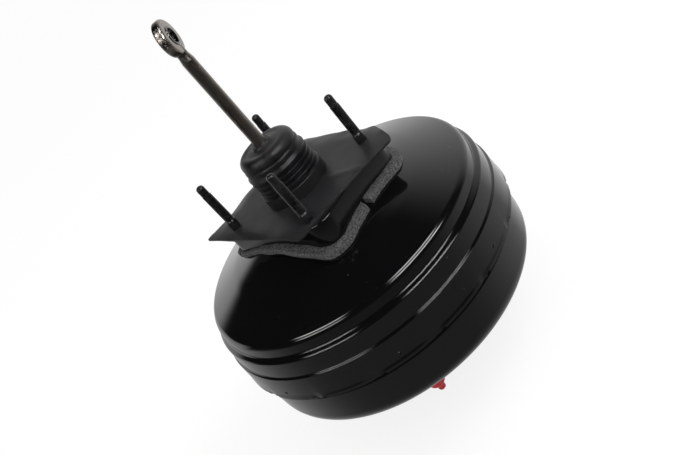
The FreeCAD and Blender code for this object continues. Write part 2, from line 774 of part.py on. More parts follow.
def make_firewall_studs():
    body = new_body("firewall_studs")
    point_start = s.stud_reach - s.stud_point_length
    head_bottom = rear_plate_bottom - s.stud_head_height
    for index, place in enumerate(stud_places):
        turn(body, [
            (ZERO, head_bottom),
            (s.stud_head_radius, head_bottom),
            (s.stud_head_radius, rear_plate_bottom),
            (s.stud_shank_radius, rear_plate_bottom),
            (s.stud_shank_radius, ZERO),
            (s.stud_radius, ZERO),
            (s.stud_radius, point_start - s.stud_point_step),
            (s.stud_point_radius, point_start),
            (s.stud_point_radius, s.stud_reach, s.stud_point_round),
            (ZERO, s.stud_reach),
        ], "Stud%d" % (index + 1), place)
    return finished("firewall_studs", body)


def make_rear_plate():
    body = new_body("rear_reinforcement_plate")
    inset = s.wall + s.rear_plate_margin
    pad(body, lambda k: draw_outline(k, boss_outline(inset, s.boss_corner - inset)),
        rear_plate_bottom, s.rear_plate_thickness, "Plate")
    drill(body, lambda k: draw_circle(k, ZERO, ZERO, s.neck_bore + s.wall),
          boss_inside, s.rear_plate_thickness, "NeckHole")
    drill(body, lambda k: [draw_circle(k, x, y, s.stud_shank_radius) for x, y in stud_places],
          boss_inside, s.rear_plate_thickness, "StudHoles")
    return finished("rear_reinforcement_plate", body)


def make_neck_seal():
    """Lip seal in the neck, with the stamped ring that holds it."""
    inner = s.hub_neck_radius + s.seal_gap
    bottom = boss_inside
    top = bottom + s.neck_seal_height
    body = new_body("neck_seal")
    turn(body, [
        (inner, bottom), (s.neck_bore, bottom), (s.neck_bore, top),
        (inner + s.wall / 2, top), (inner + s.wall / 2, bottom + s.seal_height), (inner, bottom + s.seal_height),
    ], "Lip")
    finished("neck_seal", body)
    ring("neck_seal_retainer", inner + s.wall / 2, s.neck_bore, top, top + s.cup_thickness)


# Master cylinder side

def make_front_plate():
    body = new_body("front_reinforcement_plate")
    outer = s.nose_radius - s.front_plate_margin
    turn(body, box_corners(s.cylinder_hole_radius, outer, nose_inside, front_plate_top), "Plate")
    seat = s.main_spring_radius - s.main_spring_wire - s.spring_seat_clearance
    turn(body, box_corners(seat - s.wall, seat, front_plate_top, front_plate_top + s.spring_seat_height),
         "SpringSeat")
    drill(body, lambda k: [draw_circle(k, x, y, s.stud_shank_radius) for x, y in cylinder_stud_places],
          front_plate_top, s.front_plate_thickness, "StudHoles")
    return finished("front_reinforcement_plate", body)


def make_cylinder_studs():
    body = new_body("master_cylinder_studs")
    tip = -s.nose_depth - s.cylinder_stud_reach
    head = s.cylinder_stud_head_radius
    for index, place in enumerate(cylinder_stud_places):
        turn(body, [
            (ZERO, front_plate_top + s.stud_head_height),
            (ZERO, tip),
            (s.stud_radius, tip, s.cylinder_stud_tip_round),
            (s.stud_radius, -s.nose_depth),
            (s.stud_shank_radius, -s.nose_depth),
            (s.stud_shank_radius, front_plate_top),
            (head, front_plate_top),
            (head, front_plate_top + s.stud_head_height),
        ], "Stud%d" % (index + 1), place)
    return finished("master_cylinder_studs", body)


# Divider between the two chambers, and its seal on the hub

def make_divider():
    body = new_body("divider_plate")
    thick = s.divider_thickness
    hole = s.hub_radius + s.divider_hole_clearance
    top = -s.divider_top_depth
    floor = -s.divider_depth
    flange = -s.divider_flange_depth
    outer = s.skirt_radius - s.wall - s.flange_gap
    turn(body, [
        (hole, floor),
        (s.divider_well_radius, floor, thick),
        (s.divider_well_radius, top, thick * 2),
        (s.divider_radius, top, thick * 2),
        (s.divider_radius, flange),
        (outer, flange),
        (outer, flange - thick),
        (s.divider_radius - thick, flange - thick),
        (s.divider_radius - thick, top - thick, thick),
        (s.divider_well_radius + thick, top - thick, thick),
        (s.divider_well_radius + thick, floor - thick, thick * 2),
        (hole, floor - thick),
    ], "Stamping")
    finished("divider_plate", body)
    inner = s.hub_radius + s.seal_gap
    seal = new_body("divider_seal")
    turn(seal, [
        (inner, floor), (inner + s.seal_width, floor), (inner + s.seal_width, floor + s.seal_height / 2),
        (inner + s.wall, floor + s.seal_height), (inner, floor + s.seal_height),
    ], "Lip")
    finished("divider_seal", seal)


# Power piston: hub, two plates and two rolling diaphragms

def make_hub():
    body = new_body("valve_body")
    plate_back = -s.rear_piston_depth - s.piston_plate_thickness
    turn(body, [
        (ZERO, s.hub_neck_end),
        (s.hub_neck_radius, s.hub_neck_end),
        (s.hub_neck_radius, plate_back),
        (s.hub_radius, plate_back),
        (s.hub_radius, -s.hub_end_depth),
        (s.hub_nose_radius, -s.hub_end_depth),
        (s.hub_nose_radius, -s.hub_nose_depth),
        (ZERO, -s.hub_nose_depth),
    ], "Hub")
    seat_outer = s.vacuum_seat_radius + s.vacuum_seat_width / 2
    seat_inner = s.vacuum_seat_radius - s.vacuum_seat_width / 2
    turn_away(body, [
        (ZERO, s.hub_neck_end),
        (ZERO, -s.plunger_head_bore_depth),
        (s.plunger_head_bore, -s.plunger_head_bore_depth),
        (s.plunger_head_bore, -s.poppet_bore_depth),
        (seat_inner, -s.poppet_bore_depth),
        (seat_inner, -s.poppet_bore_depth + s.vacuum_seat_height),
        (seat_outer, -s.poppet_bore_depth + s.vacuum_seat_height),
        (seat_outer, -s.poppet_bore_depth),
        (s.poppet_bore, -s.poppet_bore_depth),
        (s.poppet_bore, -s.filter_bore_depth),
        (s.filter_bore, -s.filter_bore_depth),
        (s.filter_bore, s.hub_neck_end),
    ], "ValveBore")
    turn_away(body, box_corners(ZERO, s.plunger_bore, -s.reaction_bore_depth,
                                -s.plunger_head_bore_depth), "PlungerBore")
    turn_away(body, box_corners(ZERO, s.reaction_bore, -s.hub_nose_depth,
                                -s.reaction_bore_depth), "ReactionBore")
    half = s.key_width / 2 + s.key_play / 2
    top = -s.key_depth + s.key_play
    reach = s.hub_radius + OVERCUT
    drill(body, lambda k: draw_outline(k, box_corners(-half, half, -reach, reach)),
          top, s.key_thickness + s.key_play * 2, "KeySlot")
    return finished("valve_body", body)


def make_stop_key():
    """Forked key that passes through the hub and straddles the plunger's groove."""
    body = new_body("stop_key")
    half = s.key_width / 2
    tip = s.hub_radius - s.key_play
    fork = s.plunger_groove_radius + s.key_play / 2
    bottom = -s.key_depth - s.key_thickness
    pad(body, lambda k: draw_outline(k, box_corners(-half, half, -tip, tip)), bottom, s.key_thickness, "Key")
    drill(body, lambda k: draw_outline(k, box_corners(-fork, fork, -tip - OVERCUT, fork)),
          -s.key_depth, s.key_thickness, "Fork")
    return finished("stop_key", body)


def make_piston_plate(label, depth, hole):
    body = new_body(label)
    thick = s.piston_plate_thickness
    outer = s.piston_plate_radius
    turn(body, [
        (hole, -depth),
        (outer, -depth, thick * 2),
        (outer, -depth - s.piston_plate_rim),
        (outer - thick, -depth - s.piston_plate_rim),
        (outer - thick, -depth - thick, thick),
        (hole, -depth - thick),
    ], "Plate")
    return finished(label, body)


def make_diaphragm(label, depth, hole, bead):
    """A membrane on its piston plate, one rolling fold, and the bead clamped at the rim."""
    body = new_body(label)
    thick = s.membrane
    edge = s.piston_plate_radius + s.flange_gap
    fold_outer = edge + thick + s.membrane_fold * 2
    bead_low, bead_high, bead_inner, bead_outer = bead
    middle = (bead_low + bead_high) / 2
    fold_bottom = bead_low - s.membrane_fold / 2
    turn(body, [
        (hole, -depth),
        (edge, -depth),
        (edge, fold_bottom - thick, s.fold_outer_round),
        (fold_outer + thick, fold_bottom - thick, s.fold_outer_round),
        (fold_outer + thick, middle - thick / 2),
        (bead_inner, middle - thick / 2),
        (bead_inner, bead_low),
        (bead_outer, bead_low),
        (bead_outer, bead_high),
        (bead_inner, bead_high),
        (bead_inner, middle + thick / 2),
        (fold_outer, middle + thick / 2),
        (fold_outer, fold_bottom, s.fold_inner_round),
        (edge + thick, fold_bottom, s.fold_inner_round),
        (edge + thick, -depth + thick),
        (hole, -depth + thick),
    ], "Membrane")
    return finished(label, body)


def make_pistons():
    rear_bead = (-s.divider_top_depth, -s.divider_top_depth + s.bead_height,
                 s.divider_well_radius + s.membrane * 2, s.step_radius - s.wall - s.flange_gap)
    front_bead = (flange_top, bead_top, s.divider_radius, s.skirt_radius - s.wall - s.flange_gap)
    make_piston_plate("rear_piston_plate", s.rear_piston_depth, s.hub_neck_radius)
    make_piston_plate("front_piston_plate", s.front_piston_depth, s.hub_nose_radius)
    make_diaphragm("rear_diaphragm", s.rear_piston_depth, s.hub_neck_radius, rear_bead)
    make_diaphragm("front_diaphragm", s.front_piston_depth, s.hub_nose_radius, front_bead)
    clip_top = -s.front_piston_depth - s.piston_plate_thickness
    ring("piston_retaining_ring", s.hub_nose_radius, s.retaining_ring_radius,
         clip_top - s.cup_thickness, clip_top)


# Air valve: plunger, ball retainer, input rod with its eye and bush

def make_plunger():
    body = new_body("air_valve_plunger")
    stem = s.plunger_bore - s.plunger_clearance
    groove_top = -s.key_depth + s.plunger_groove_play
    groove_bottom = -s.key_depth - s.key_thickness - s.plunger_groove_play
    turn(body, [
        (ZERO, -s.plunger_end),
        (stem, -s.plunger_end),
        (stem, groove_bottom),
        (s.plunger_groove_radius, groove_bottom),
        (s.plunger_groove_radius, groove_top),
        (stem, groove_top),
        (stem, -s.plunger_head_end),
        (s.plunger_head_radius, -s.plunger_head_end),
        (s.plunger_head_radius, -s.plunger_head_start),
        (s.retainer_radius, -s.plunger_head_start),
        (s.retainer_radius, -s.retainer_depth),
        (ZERO, -s.retainer_depth),
    ], "Plunger")
    socket = body.newObject("PartDesign::SubtractiveSphere", "BallSocket")
    socket.AttachmentSupport = [(origin_feature(body, "XY_Plane"), "")]
    socket.MapMode = "FlatFace"
    socket.setExpression("AttachmentOffset.Base.z", (-s.ball_depth).formula)
    socket.setExpression("Radius", (s.ball_radius + s.ball_clearance).formula)
    body.Tip = socket
    return finished("air_valve_plunger", body)


def make_ball_retainer():
    hole = s.ball_radius - s.ball_clearance * 4
    body = new_body("ball_retainer")
    bottom = -s.retainer_depth + s.ball_clearance
    top = bottom + s.retainer_height
    outer = s.retainer_radius - s.ball_clearance
    turn(body, [
        (hole, bottom), (outer, bottom), (outer, top), (s.rod_neck_radius + s.key_play, top),
        (s.rod_neck_radius + s.key_play, bottom + s.retainer_height / 2),
    ], "Ring")
    return finished("ball_retainer", body)


def make_input_rod():
    """Ball-ended rod with a spring collar and a flattened eye, turned to the eye's angle."""
    body = new_body("input_rod_shank")
    neck_end = -s.ball_depth + s.rod_neck_length
    collar = s.rod_collar_height
    turn(body, [
        (ZERO, -s.ball_depth),
        (s.rod_neck_radius, -s.ball_depth),
        (s.rod_neck_radius, neck_end),
        (s.rod_radius, neck_end + s.rod_taper),
        (s.rod_radius, collar),
        (s.rod_collar_radius, collar),
        (s.rod_collar_radius, collar + s.wall),
        (s.rod_radius, collar + s.wall),
        (s.rod_radius, s.rod_shoulder),
        (s.rod_waist, s.rod_shoulder + s.rod_taper),
        (s.rod_waist, s.eye_height),
        (ZERO, s.eye_height),
    ], "Shank")
    ball = body.newObject("PartDesign::AdditiveSphere", "Ball")
    ball.AttachmentSupport = [(origin_feature(body, "XY_Plane"), "")]
    ball.MapMode = "FlatFace"
    ball.setExpression("AttachmentOffset.Base.z", (-s.ball_depth).formula)
    ball.setExpression("Radius", s.ball_radius.formula)
    body.Tip = ball
    eye = eye_cylinder("input_rod_eye", s.eye_radius, s.eye_thickness)
    hole = eye_cylinder("input_rod_hole", s.eye_bore, s.eye_thickness * 2)
    blank = doc.addObject("Part::Fuse", "input_rod_blank")
    blank.Base = body
    blank.Tool = eye
    rod = doc.addObject("Part::Cut", "input_rod")
    rod.Base = blank
    rod.Tool = hole
    turn_to_eye(rod)
    finished("input_rod", rod)
    bush_length = s.eye_thickness + s.bush_overhang * 2
    sleeve = eye_cylinder("eye_bush_sleeve", s.eye_bore, bush_length)
    bore = eye_cylinder("eye_bush_bore", s.bush_bore, bush_length * 2)
    bush = doc.addObject("Part::Cut", "eye_bush")
    bush.Base = sleeve
    bush.Tool = bore
    turn_to_eye(bush)
    return finished("eye_bush", bush)


def turn_to_eye(thing):
    """Turn a piece of the rod about the booster's axis to the eye's angle."""
    thing.Placement = Placement(Vector(0, 0, 0), Rotation(Vector(0, 0, 1), 0))
    thing.setExpression("Placement.Rotation.Angle", "%s * 1 deg" % s.eye_angle.formula)


def eye_cylinder(name, radius, length):
    """A cylinder across the rod at the eye's height, centred on the axis."""
    cylinder = doc.addObject("Part::Cylinder", name)
    cylinder.Placement = Placement(Vector(0, 0, 0), Rotation(Vector(0, 1, 0), 90))
    cylinder.setExpression("Radius", Size.of(radius).formula)
    cylinder.setExpression("Height", Size.of(length).formula)
    cylinder.setExpression("Placement.Base.x", (Size.of(length) * -0.5).formula)
    cylinder.setExpression("Placement.Base.z", s.eye_height.formula)
    return cylinder


# Poppet, its cup and spring, the rod's return spring, and the filter pack

def make_poppet():
    body = new_body("poppet_valve")
    face = -s.poppet_face_depth
    back = face + s.poppet_face_thickness
    step = -s.filter_bore_depth
    tube_outer = s.poppet_bore - s.poppet_play
    tube_inner = tube_outer - s.poppet_tube
    turn(body, [
        (s.poppet_hole, face),
        (tube_outer, face),
        (tube_outer, step),
        (s.filter_bore - s.disc_clearance, step),
        (s.filter_bore - s.disc_clearance, step + s.poppet_bead_height),
        (tube_inner, step + s.poppet_bead_height),
        (tube_inner, back),
        (s.poppet_hole, back),
    ], "Poppet")
    finished("poppet_valve", body)
    cup_bottom = step + s.poppet_bead_height
    cup_top = cup_bottom + s.cup_thickness
    ring("poppet_cup", s.cup_hole, s.filter_bore - s.disc_clearance, cup_bottom, cup_top)
    coil("poppet_spring", s.poppet_spring_radius, s.poppet_spring_wire, back, cup_bottom,
         s.poppet_spring_turns)
    coil("input_return_spring", s.return_spring_radius, s.return_spring_wire,
         cup_top, s.rod_collar_height, s.return_spring_turns)


def make_filter_pack():
    outer = s.filter_bore - s.disc_clearance
    silencer_top = s.hub_neck_end
    filter_top = silencer_top - s.silencer_height
    ring("silencer", s.filter_hole, outer, filter_top, silencer_top)
    ring("air_filter", s.filter_hole, outer, filter_top - s.filter_height, filter_top)


# Reaction disc, output rod and the main return spring

def make_output_side():
    disc_top = -s.reaction_bore_depth
    disc_bottom = disc_top - s.disc_thickness
    head_radius = s.reaction_bore - s.disc_clearance
    ring("reaction_disc", ZERO, head_radius, disc_bottom, disc_top)
    head_bottom = disc_bottom - s.output_head_thickness
    body = new_body("output_rod")
    turn(body, [
        (ZERO, disc_bottom),
        (ZERO, -s.output_rod_depth),
        (s.output_rod_radius, -s.output_rod_depth, s.output_rod_round),
        (s.output_rod_radius, head_bottom),
        (head_radius, head_bottom),
        (head_radius, disc_bottom),
    ], "Rod")
    finished("output_rod", body)
    clip_top = -s.hub_nose_depth
    clip = new_body("output_rod_clip")
    clip_hole = s.output_rod_radius + s.key_play
    skirt = s.hub_nose_radius + s.output_clip_thickness
    turn(clip, [
        (clip_hole, clip_top),
        (s.hub_nose_radius, clip_top),
        (s.hub_nose_radius, clip_top + s.output_clip_thickness * 2),
        (skirt, clip_top + s.output_clip_thickness * 2),
        (skirt, clip_top - s.output_clip_thickness),
        (clip_hole, clip_top - s.output_clip_thickness),
    ], "Clip")
    finished("output_rod_clip", clip)
    coil("main_return_spring", s.main_spring_radius, s.main_spring_wire, front_plate_top,
         -s.front_piston_depth - s.piston_plate_thickness, s.main_spring_turns)


# Dust boot over the neck

def make_boot():
    """Moulded boot: base over the neck, ribs, shoulder, groove and a rounded cap round the rod."""
    wall = s.boot_wall
    grip = s.neck_bore + s.wall + s.flange_gap
    outside = [(s.boot_base_radius, s.flange_gap), (s.boot_base_radius, s.boot_base_height)]
    inside = [(grip, s.flange_gap), (grip, s.boot_base_height - wall)]
    for index in range(int(SIZES["boot_rib_count"])):
        low = s.boot_base_height + s.boot_rib_pitch * index
        crest = low + s.boot_rib_pitch - s.boot_rib_crest
        outside += [
            (s.boot_rib_root, low + s.boot_rib_slope),
            (s.boot_rib_root, crest - s.boot_rib_slope),
            (s.boot_rib_radius, crest),
            (s.boot_rib_radius, low + s.boot_rib_pitch),
        ]
    outside += [
        (s.boot_shoulder_radius, s.boot_shoulder_height - wall * 2),
        (s.boot_shoulder_radius, s.boot_shoulder_height),
        (s.boot_groove_radius, s.boot_shoulder_height + wall / 2),
        (s.boot_cap_radius, s.boot_shoulder_height + wall),
        (s.boot_cap_radius, s.boot_height, s.boot_cap_round),
        (s.boot_collar_radius, s.boot_height),
        (s.boot_collar_radius, s.boot_height + wall),
    ]
    hole = s.rod_radius + s.boot_rod_gap
    inner_wall = s.boot_rib_root - wall
    inside += [
        (inner_wall, s.boot_base_height),
        (inner_wall, s.boot_shoulder_height + wall),
        (inner_wall, s.boot_height - wall, s.boot_cap_round / 2),
        (hole, s.boot_height - wall),
        (hole, s.boot_height + wall),
    ]
    body = new_body("dust_boot")
    turn(body, outside + inside[::-1], "Boot")
    return finished("dust_boot", body)


# Vacuum check valve in its grommet, with the transport cap on its nozzle

def make_grommet():
    body = new_body("valve_grommet")
    inner = s.valve_stem_radius
    half = s.wall / 2 + s.grommet_lip
    middle = bowl_face + s.wall / 2
    turn(body, [
        (inner, middle - half),
        (s.grommet_radius, middle - half),
        (s.grommet_radius, middle - s.wall / 2),
        (s.grommet_waist, middle - s.wall / 2),
        (s.grommet_waist, middle + s.wall / 2),
        (s.grommet_radius, middle + s.wall / 2),
        (s.grommet_radius - s.grommet_lip / 2, middle + half),
        (inner, middle + half),
    ], "Grommet", valve_place)
    return finished("valve_grommet", body)


def make_check_valve():
    seat = bowl_face - s.grommet_lip
    stem_top = bowl_face + s.wall + s.grommet_lip + s.wall
    dome_end = seat - s.valve_dome_height
    tip = dome_end - s.nozzle_length
    stem = s.valve_stem_radius - s.seal_gap
    body = new_body("check_valve_body")
    turn(body, [
        (ZERO, stem_top),
        (stem + s.valve_stem_lip, stem_top),
        (stem + s.valve_stem_lip, stem_top - s.wall + s.seal_gap),
        (stem, stem_top - s.wall + s.seal_gap),
        (stem, seat - s.seal_gap),
        (s.valve_dome_radius, seat - s.seal_gap),
        (s.valve_dome_radius, dome_end, s.valve_dome_round),
        (s.nozzle_radius, dome_end),
        (s.nozzle_radius, tip + s.nozzle_barb_length),
        (s.nozzle_radius + s.nozzle_barb, tip + s.nozzle_barb_length),
        (s.nozzle_radius, tip),
        (ZERO, tip),
    ], "Housing", valve_place)
    chamber_top = seat - s.wall
    chamber_bottom = dome_end + s.wall
    turn_away(body, [
        (ZERO, stem_top),
        (ZERO, tip),
        (s.valve_throat, tip),
        (s.valve_throat, chamber_bottom),
        (s.valve_chamber_radius, chamber_bottom),
        (s.valve_chamber_radius, chamber_top),
        (s.valve_throat, chamber_top),
        (s.valve_throat, stem_top),
    ], "Passage", valve_place)
    finished("check_valve_body", body)
    disc_top = chamber_top - s.seal_gap
    disc_bottom = disc_top - s.valve_disc_thickness
    ring("check_valve_disc", ZERO, s.valve_disc_radius, disc_bottom, disc_top, valve_place)
    coil("check_valve_spring", s.valve_throat + s.valve_spring_room, s.valve_spring_wire,
         chamber_bottom, disc_bottom, s.valve_spring_turns, valve_place)
    inner = s.nozzle_radius + s.nozzle_barb + s.cap_gap
    flange = inner + s.cap_flange_width
    cap = new_body("transport_cap")
    turn(cap, [
        (inner, dome_end - s.cap_gap),
        (flange, dome_end - s.cap_gap),
        (flange, dome_end - s.cap_gap - s.cap_wall),
        (inner + s.cap_wall, dome_end - s.cap_gap - s.cap_wall),
        (inner + s.cap_wall, tip - s.cap_gap - s.cap_wall, s.cap_wall),
        (ZERO, tip - s.cap_gap - s.cap_wall),
        (ZERO, tip - s.cap_gap),
        (inner, tip - s.cap_gap),
    ], "Cap", valve_place)
    return finished("transport_cap", cap)


make_rear_shell()
make_front_shell()
make_gasket()
make_foam_strip("foam_seal_front", True)
make_foam_strip("foam_seal_back", False)
make_firewall_studs()
make_rear_plate()
make_neck_seal()
make_front_plate()
make_cylinder_studs()
make_divider()
make_hub()
make_stop_key()
make_pistons()
make_plunger()
make_ball_retainer()
make_input_rod()
make_poppet()
make_filter_pack()
make_output_side()
make_boot()
make_grommet()
make_check_valve()

# Checks and export

doc.recompute()
for item in doc.Objects:
    if {"Invalid", "Error"} & set(item.State):
        raise RuntimeError("%s did not recompute: %s" % (item.Label, item.State))
os.makedirs("parts", exist_ok=True)
for item in parts:
    if item.Shape.isNull() or not item.Shape.isValid():
        raise RuntimeError("%s has no valid shape" % item.Label)
    item.Shape.exportStep(os.path.join("parts", item.Label + ".step"))
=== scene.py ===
# %% [markdown]
# A vacuum brake booster, seen from above its firewall side. Two pressed steel shells hold a piston,
# and a push rod runs up through a rubber boot to the brake pedal. The engineering model gives every
# piece its size and place. Here each visible piece is modelled again in finer detail, in the same
# frame, so nothing has to be fitted.

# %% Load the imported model
import json
import math
import bpy
from mathutils import Matrix, Vector, noise


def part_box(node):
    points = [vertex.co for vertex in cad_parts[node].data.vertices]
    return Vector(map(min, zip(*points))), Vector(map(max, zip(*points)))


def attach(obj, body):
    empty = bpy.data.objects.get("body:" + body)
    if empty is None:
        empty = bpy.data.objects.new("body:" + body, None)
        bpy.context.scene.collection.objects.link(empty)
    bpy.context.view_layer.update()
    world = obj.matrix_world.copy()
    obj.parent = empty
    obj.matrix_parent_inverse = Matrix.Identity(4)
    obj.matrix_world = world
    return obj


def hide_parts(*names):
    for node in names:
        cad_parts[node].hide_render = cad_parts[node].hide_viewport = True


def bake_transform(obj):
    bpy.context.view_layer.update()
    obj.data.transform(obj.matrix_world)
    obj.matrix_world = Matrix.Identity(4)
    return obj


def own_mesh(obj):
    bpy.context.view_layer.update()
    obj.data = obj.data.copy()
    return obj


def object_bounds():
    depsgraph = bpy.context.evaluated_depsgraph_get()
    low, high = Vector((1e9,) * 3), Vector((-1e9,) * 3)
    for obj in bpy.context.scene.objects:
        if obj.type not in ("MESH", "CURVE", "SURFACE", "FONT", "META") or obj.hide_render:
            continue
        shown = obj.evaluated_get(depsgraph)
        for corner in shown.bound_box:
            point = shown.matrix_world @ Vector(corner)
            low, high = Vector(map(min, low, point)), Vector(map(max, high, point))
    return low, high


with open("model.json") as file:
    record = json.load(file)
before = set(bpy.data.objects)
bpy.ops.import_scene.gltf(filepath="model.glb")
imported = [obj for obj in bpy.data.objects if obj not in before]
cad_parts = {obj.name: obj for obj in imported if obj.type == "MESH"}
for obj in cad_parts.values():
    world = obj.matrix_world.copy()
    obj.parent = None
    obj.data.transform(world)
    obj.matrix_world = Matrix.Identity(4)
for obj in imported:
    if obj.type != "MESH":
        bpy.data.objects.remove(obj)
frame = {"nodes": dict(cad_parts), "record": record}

MM = 0.001
solid_box = [list(corner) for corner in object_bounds()]
print("solids", len(frame["nodes"]), "box", [round(value, 4) for value in solid_box[0] + solid_box[1]])

# %% [markdown]
# Three small habits keep the rest short. Everything is deselected before a new piece starts, because
# an operator acts on all that is selected. Every finished piece has its place in its mesh and its
# object at the origin. And every piece prints its size, so a slip shows at once.

# %% Tidy starts and finished pieces
def start_clean():
    if bpy.context.mode != "OBJECT":
        bpy.ops.object.mode_set(mode="OBJECT")
    bpy.ops.object.select_all(action="DESELECT")


def take(piece):
    start_clean()
    piece.select_set(True)
    bpy.context.view_layer.objects.active = piece
    return piece


def settle(piece, name, crease=35):
    take(piece)
    bpy.ops.object.transform_apply(location=True, rotation=True, scale=True)
    bpy.ops.object.shade_smooth_by_angle(angle=math.radians(crease))
    piece.name = piece.data.name = name
    size = piece.dimensions / MM
    print("%-24s %6d faces %6.1f x %.1f x %.1f mm" % (name, len(piece.data.polygons), *size))
    return piece

# %% [markdown]
# Pressed, turned and moulded pieces all start as an outline. It is written like a drawing: corners in
# millimetres, with a rounding where the real edge has one. A holding point on each side of a rounding
# keeps the flats flat when they are shaded smooth, so the highlights stay thin. The wire is drawn by
# extruding one vertex from corner to corner, as by hand.

# %% Outlines with rounded corners
def rounded(corners, steps=6):
    points = []
    for index, corner in enumerate(corners):
        here = Vector(corner[:2])
        if len(corner) == 2:
            points.append(here)
            continue
        before = (Vector(corners[index - 1][:2]) - here).normalized()
        after = (Vector(corners[(index + 1) % len(corners)][:2]) - here).normalized()
        half = before.angle(after) / 2
        centre = here + (before + after).normalized() * corner[2] / math.sin(half)
        spoke = here + before * corner[2] / math.tan(half) - centre
        turn = (math.pi - 2 * half) * (-1 if before.cross(after) > 0 else 1)
        arc = [centre + Matrix.Rotation(turn * step / steps, 2) @ spoke for step in range(steps + 1)]
        hold = min(0.15, corner[2] * 0.15)
        points += [arc[0] + before * hold] + arc + [arc[-1] + after * hold]
    return points


def draw_wire(places, closed):
    start_clean()
    bpy.ops.mesh.primitive_plane_add(size=MM)
    bpy.ops.object.mode_set(mode="EDIT")
    bpy.ops.mesh.merge(type="CENTER")
    bpy.ops.transform.translate(value=tuple(places[0]))
    ends = places[1:] + places[:1] if closed else places[1:]
    for before, after in zip(places, ends):
        bpy.ops.mesh.extrude_vertices_move(TRANSFORM_OT_translate={"value": tuple(after - before)})
    bpy.ops.mesh.select_all(action="SELECT")
    bpy.ops.mesh.remove_doubles(threshold=1e-6)
    return bpy.context.object


print("a rounded corner has", len(rounded([(0, 0), (9, 0, 2), (9, 9)])) - 2, "points, two of them holding")

# %% [markdown]
# A deep-drawn shell, a stud, a rubber boot and a valve are all round, so one helper spins an outline
# about its axis. The doubles on the seam and at the poles are merged before the normals are made to
# agree, because spinning leaves the first and last rows apart.

# %% Spin an outline into a round piece
def lathe(name, corners, steps=128, at=(0, 0), arc_steps=6, crease=35):
    places = [Vector((at[0] + radius, at[1], z)) * MM for radius, z in rounded(corners, arc_steps)]
    on_axis = corners[0][0] == 0 and corners[-1][0] == 0
    piece = draw_wire(places, not on_axis)
    centre = (at[0] * MM, at[1] * MM, 0)
    bpy.ops.mesh.spin(steps=steps, angle=math.tau, center=centre, axis=(0, 0, 1))
    bpy.ops.mesh.select_all(action="SELECT")
    bpy.ops.mesh.remove_doubles(threshold=2e-6)
    bpy.ops.mesh.normals_make_consistent(inside=False)
    bpy.ops.object.mode_set(mode="OBJECT")
    return settle(piece, name, crease)

# %% [markdown]
# The boss, the seal and the foam start as a flat outline that is filled and raised. Holes, slots and
# the hollow of the shell are cut with one solid out of another, which leaves clean, closed edges.

# %% Raise an outline, and cut or join solids
def raise_outline(corners, bottom, height, edge=0, arc_steps=8):
    piece = draw_wire([Vector((x, y, bottom)) * MM for x, y in rounded(corners, arc_steps)], True)
    bpy.ops.mesh.edge_face_add()
    bpy.ops.mesh.extrude_region_move(TRANSFORM_OT_translate={"value": (0, 0, height * MM)})
    if edge:
        bpy.ops.mesh.bevel(offset=edge * MM, segments=6, affect="EDGES")
    bpy.ops.mesh.select_all(action="SELECT")
    bpy.ops.mesh.normals_make_consistent(inside=False)
    bpy.ops.object.mode_set(mode="OBJECT")
    return piece


def combine(piece, tool, operation):
    take(piece)
    bpy.ops.object.modifier_add(type="BOOLEAN")
    modifier = piece.modifiers[-1]
    modifier.operation = operation
    modifier.solver = "EXACT"
    modifier.object = tool
    bpy.ops.object.modifier_apply(modifier=modifier.name)
    bpy.data.objects.remove(tool)
    return piece


def join(pieces):
    take(pieces[0])
    for piece in pieces[1:]:
        piece.select_set(True)
    bpy.ops.object.join()
    return pieces[0]


def rectangle(half_x, half_y, corner):
    return [(-half_x, -half_y, corner), (half_x, -half_y, corner), (half_x, half_y, corner),
            (-half_x, half_y, corner)]


def peg(radius, bottom, top, at=(0, 0), sides=48):
    start_clean()
    bpy.ops.mesh.primitive_cylinder_add(vertices=sides, radius=radius * MM, depth=(top - bottom) * MM,
                                        location=(at[0] * MM, at[1] * MM, (top + bottom) / 2 * MM))
    return bpy.context.object

# %% [markdown]
# The rear shell is drawn from sheet steel in several strokes: a shallow dome, a rolled rim, a step, a
# band and a skirt that widens a little, with a raised boss for the firewall. It is made as a full outer
# form less a full inner form, which leaves a thin closed wall. The outline has a small rounding at each
# stroke, because those edges carry the bright lines of the paint.

# %% Rear shell: the drawn form
CRIMPS = 16
CRIMP_START = 15.1
STUDS = [(x, y) for x in (-48, 48) for y in (-42, 42)]

shell_outside = [
    (0, -18.5), (50, -18.5), (92, -32, 160), (128.3, -45.5, 6), (129.5, -57, 1.8), (133.4, -59.6, 1.8),
    (134.6, -75, 0.9), (136.1, -76, 0.9), (137.1, -92.6), (137.3, -94.6), (137.4, -95.6), (137.6, -96.6),
    (137.8, -97.6), (137.9, -98.6), (138, -99.4), (137.6, -100), (0, -100)]
shell_inside = [
    (0, -20.1), (50, -20.1), (92, -33.6, 160), (127.4, -47.1, 4.4), (127.4, -58.1, 3), (132.6, -61.6),
    (132.6, -76.2, 1), (134, -77.6, 1), (134, -86, 6), (136.4, -91, 6), (136.4, -106), (0, -106)]
rear_shell = lathe("rear_shell", shell_outside, steps=384)
hollow = lathe("hollow", shell_inside, steps=384)

# %% [markdown]
# At sixteen places a punch folds the skirt's edge under the other shell. The dent is widest at the edge
# and dies out upwards, so the vertices of the last rows are pushed in by a smooth amount.

# %% Rear shell: dents of the crimps
DENT_TOP = -92.5
DENT_DEPTH = 1.2
SKIRT_RADIUS = 137
CRIMP_TURN = 360 / CRIMPS


def dent(angle, z):
    across = (angle - CRIMP_START + CRIMP_TURN / 2) % CRIMP_TURN - CRIMP_TURN / 2
    along = min(max((DENT_TOP - z) / 7, 0), 1)
    sway = math.exp(-(across / 1.5) ** 2) + 0.25 * math.exp(-((across + 3.4) / 1.1) ** 2)
    return DENT_DEPTH * sway * along * along * (3 - 2 * along)


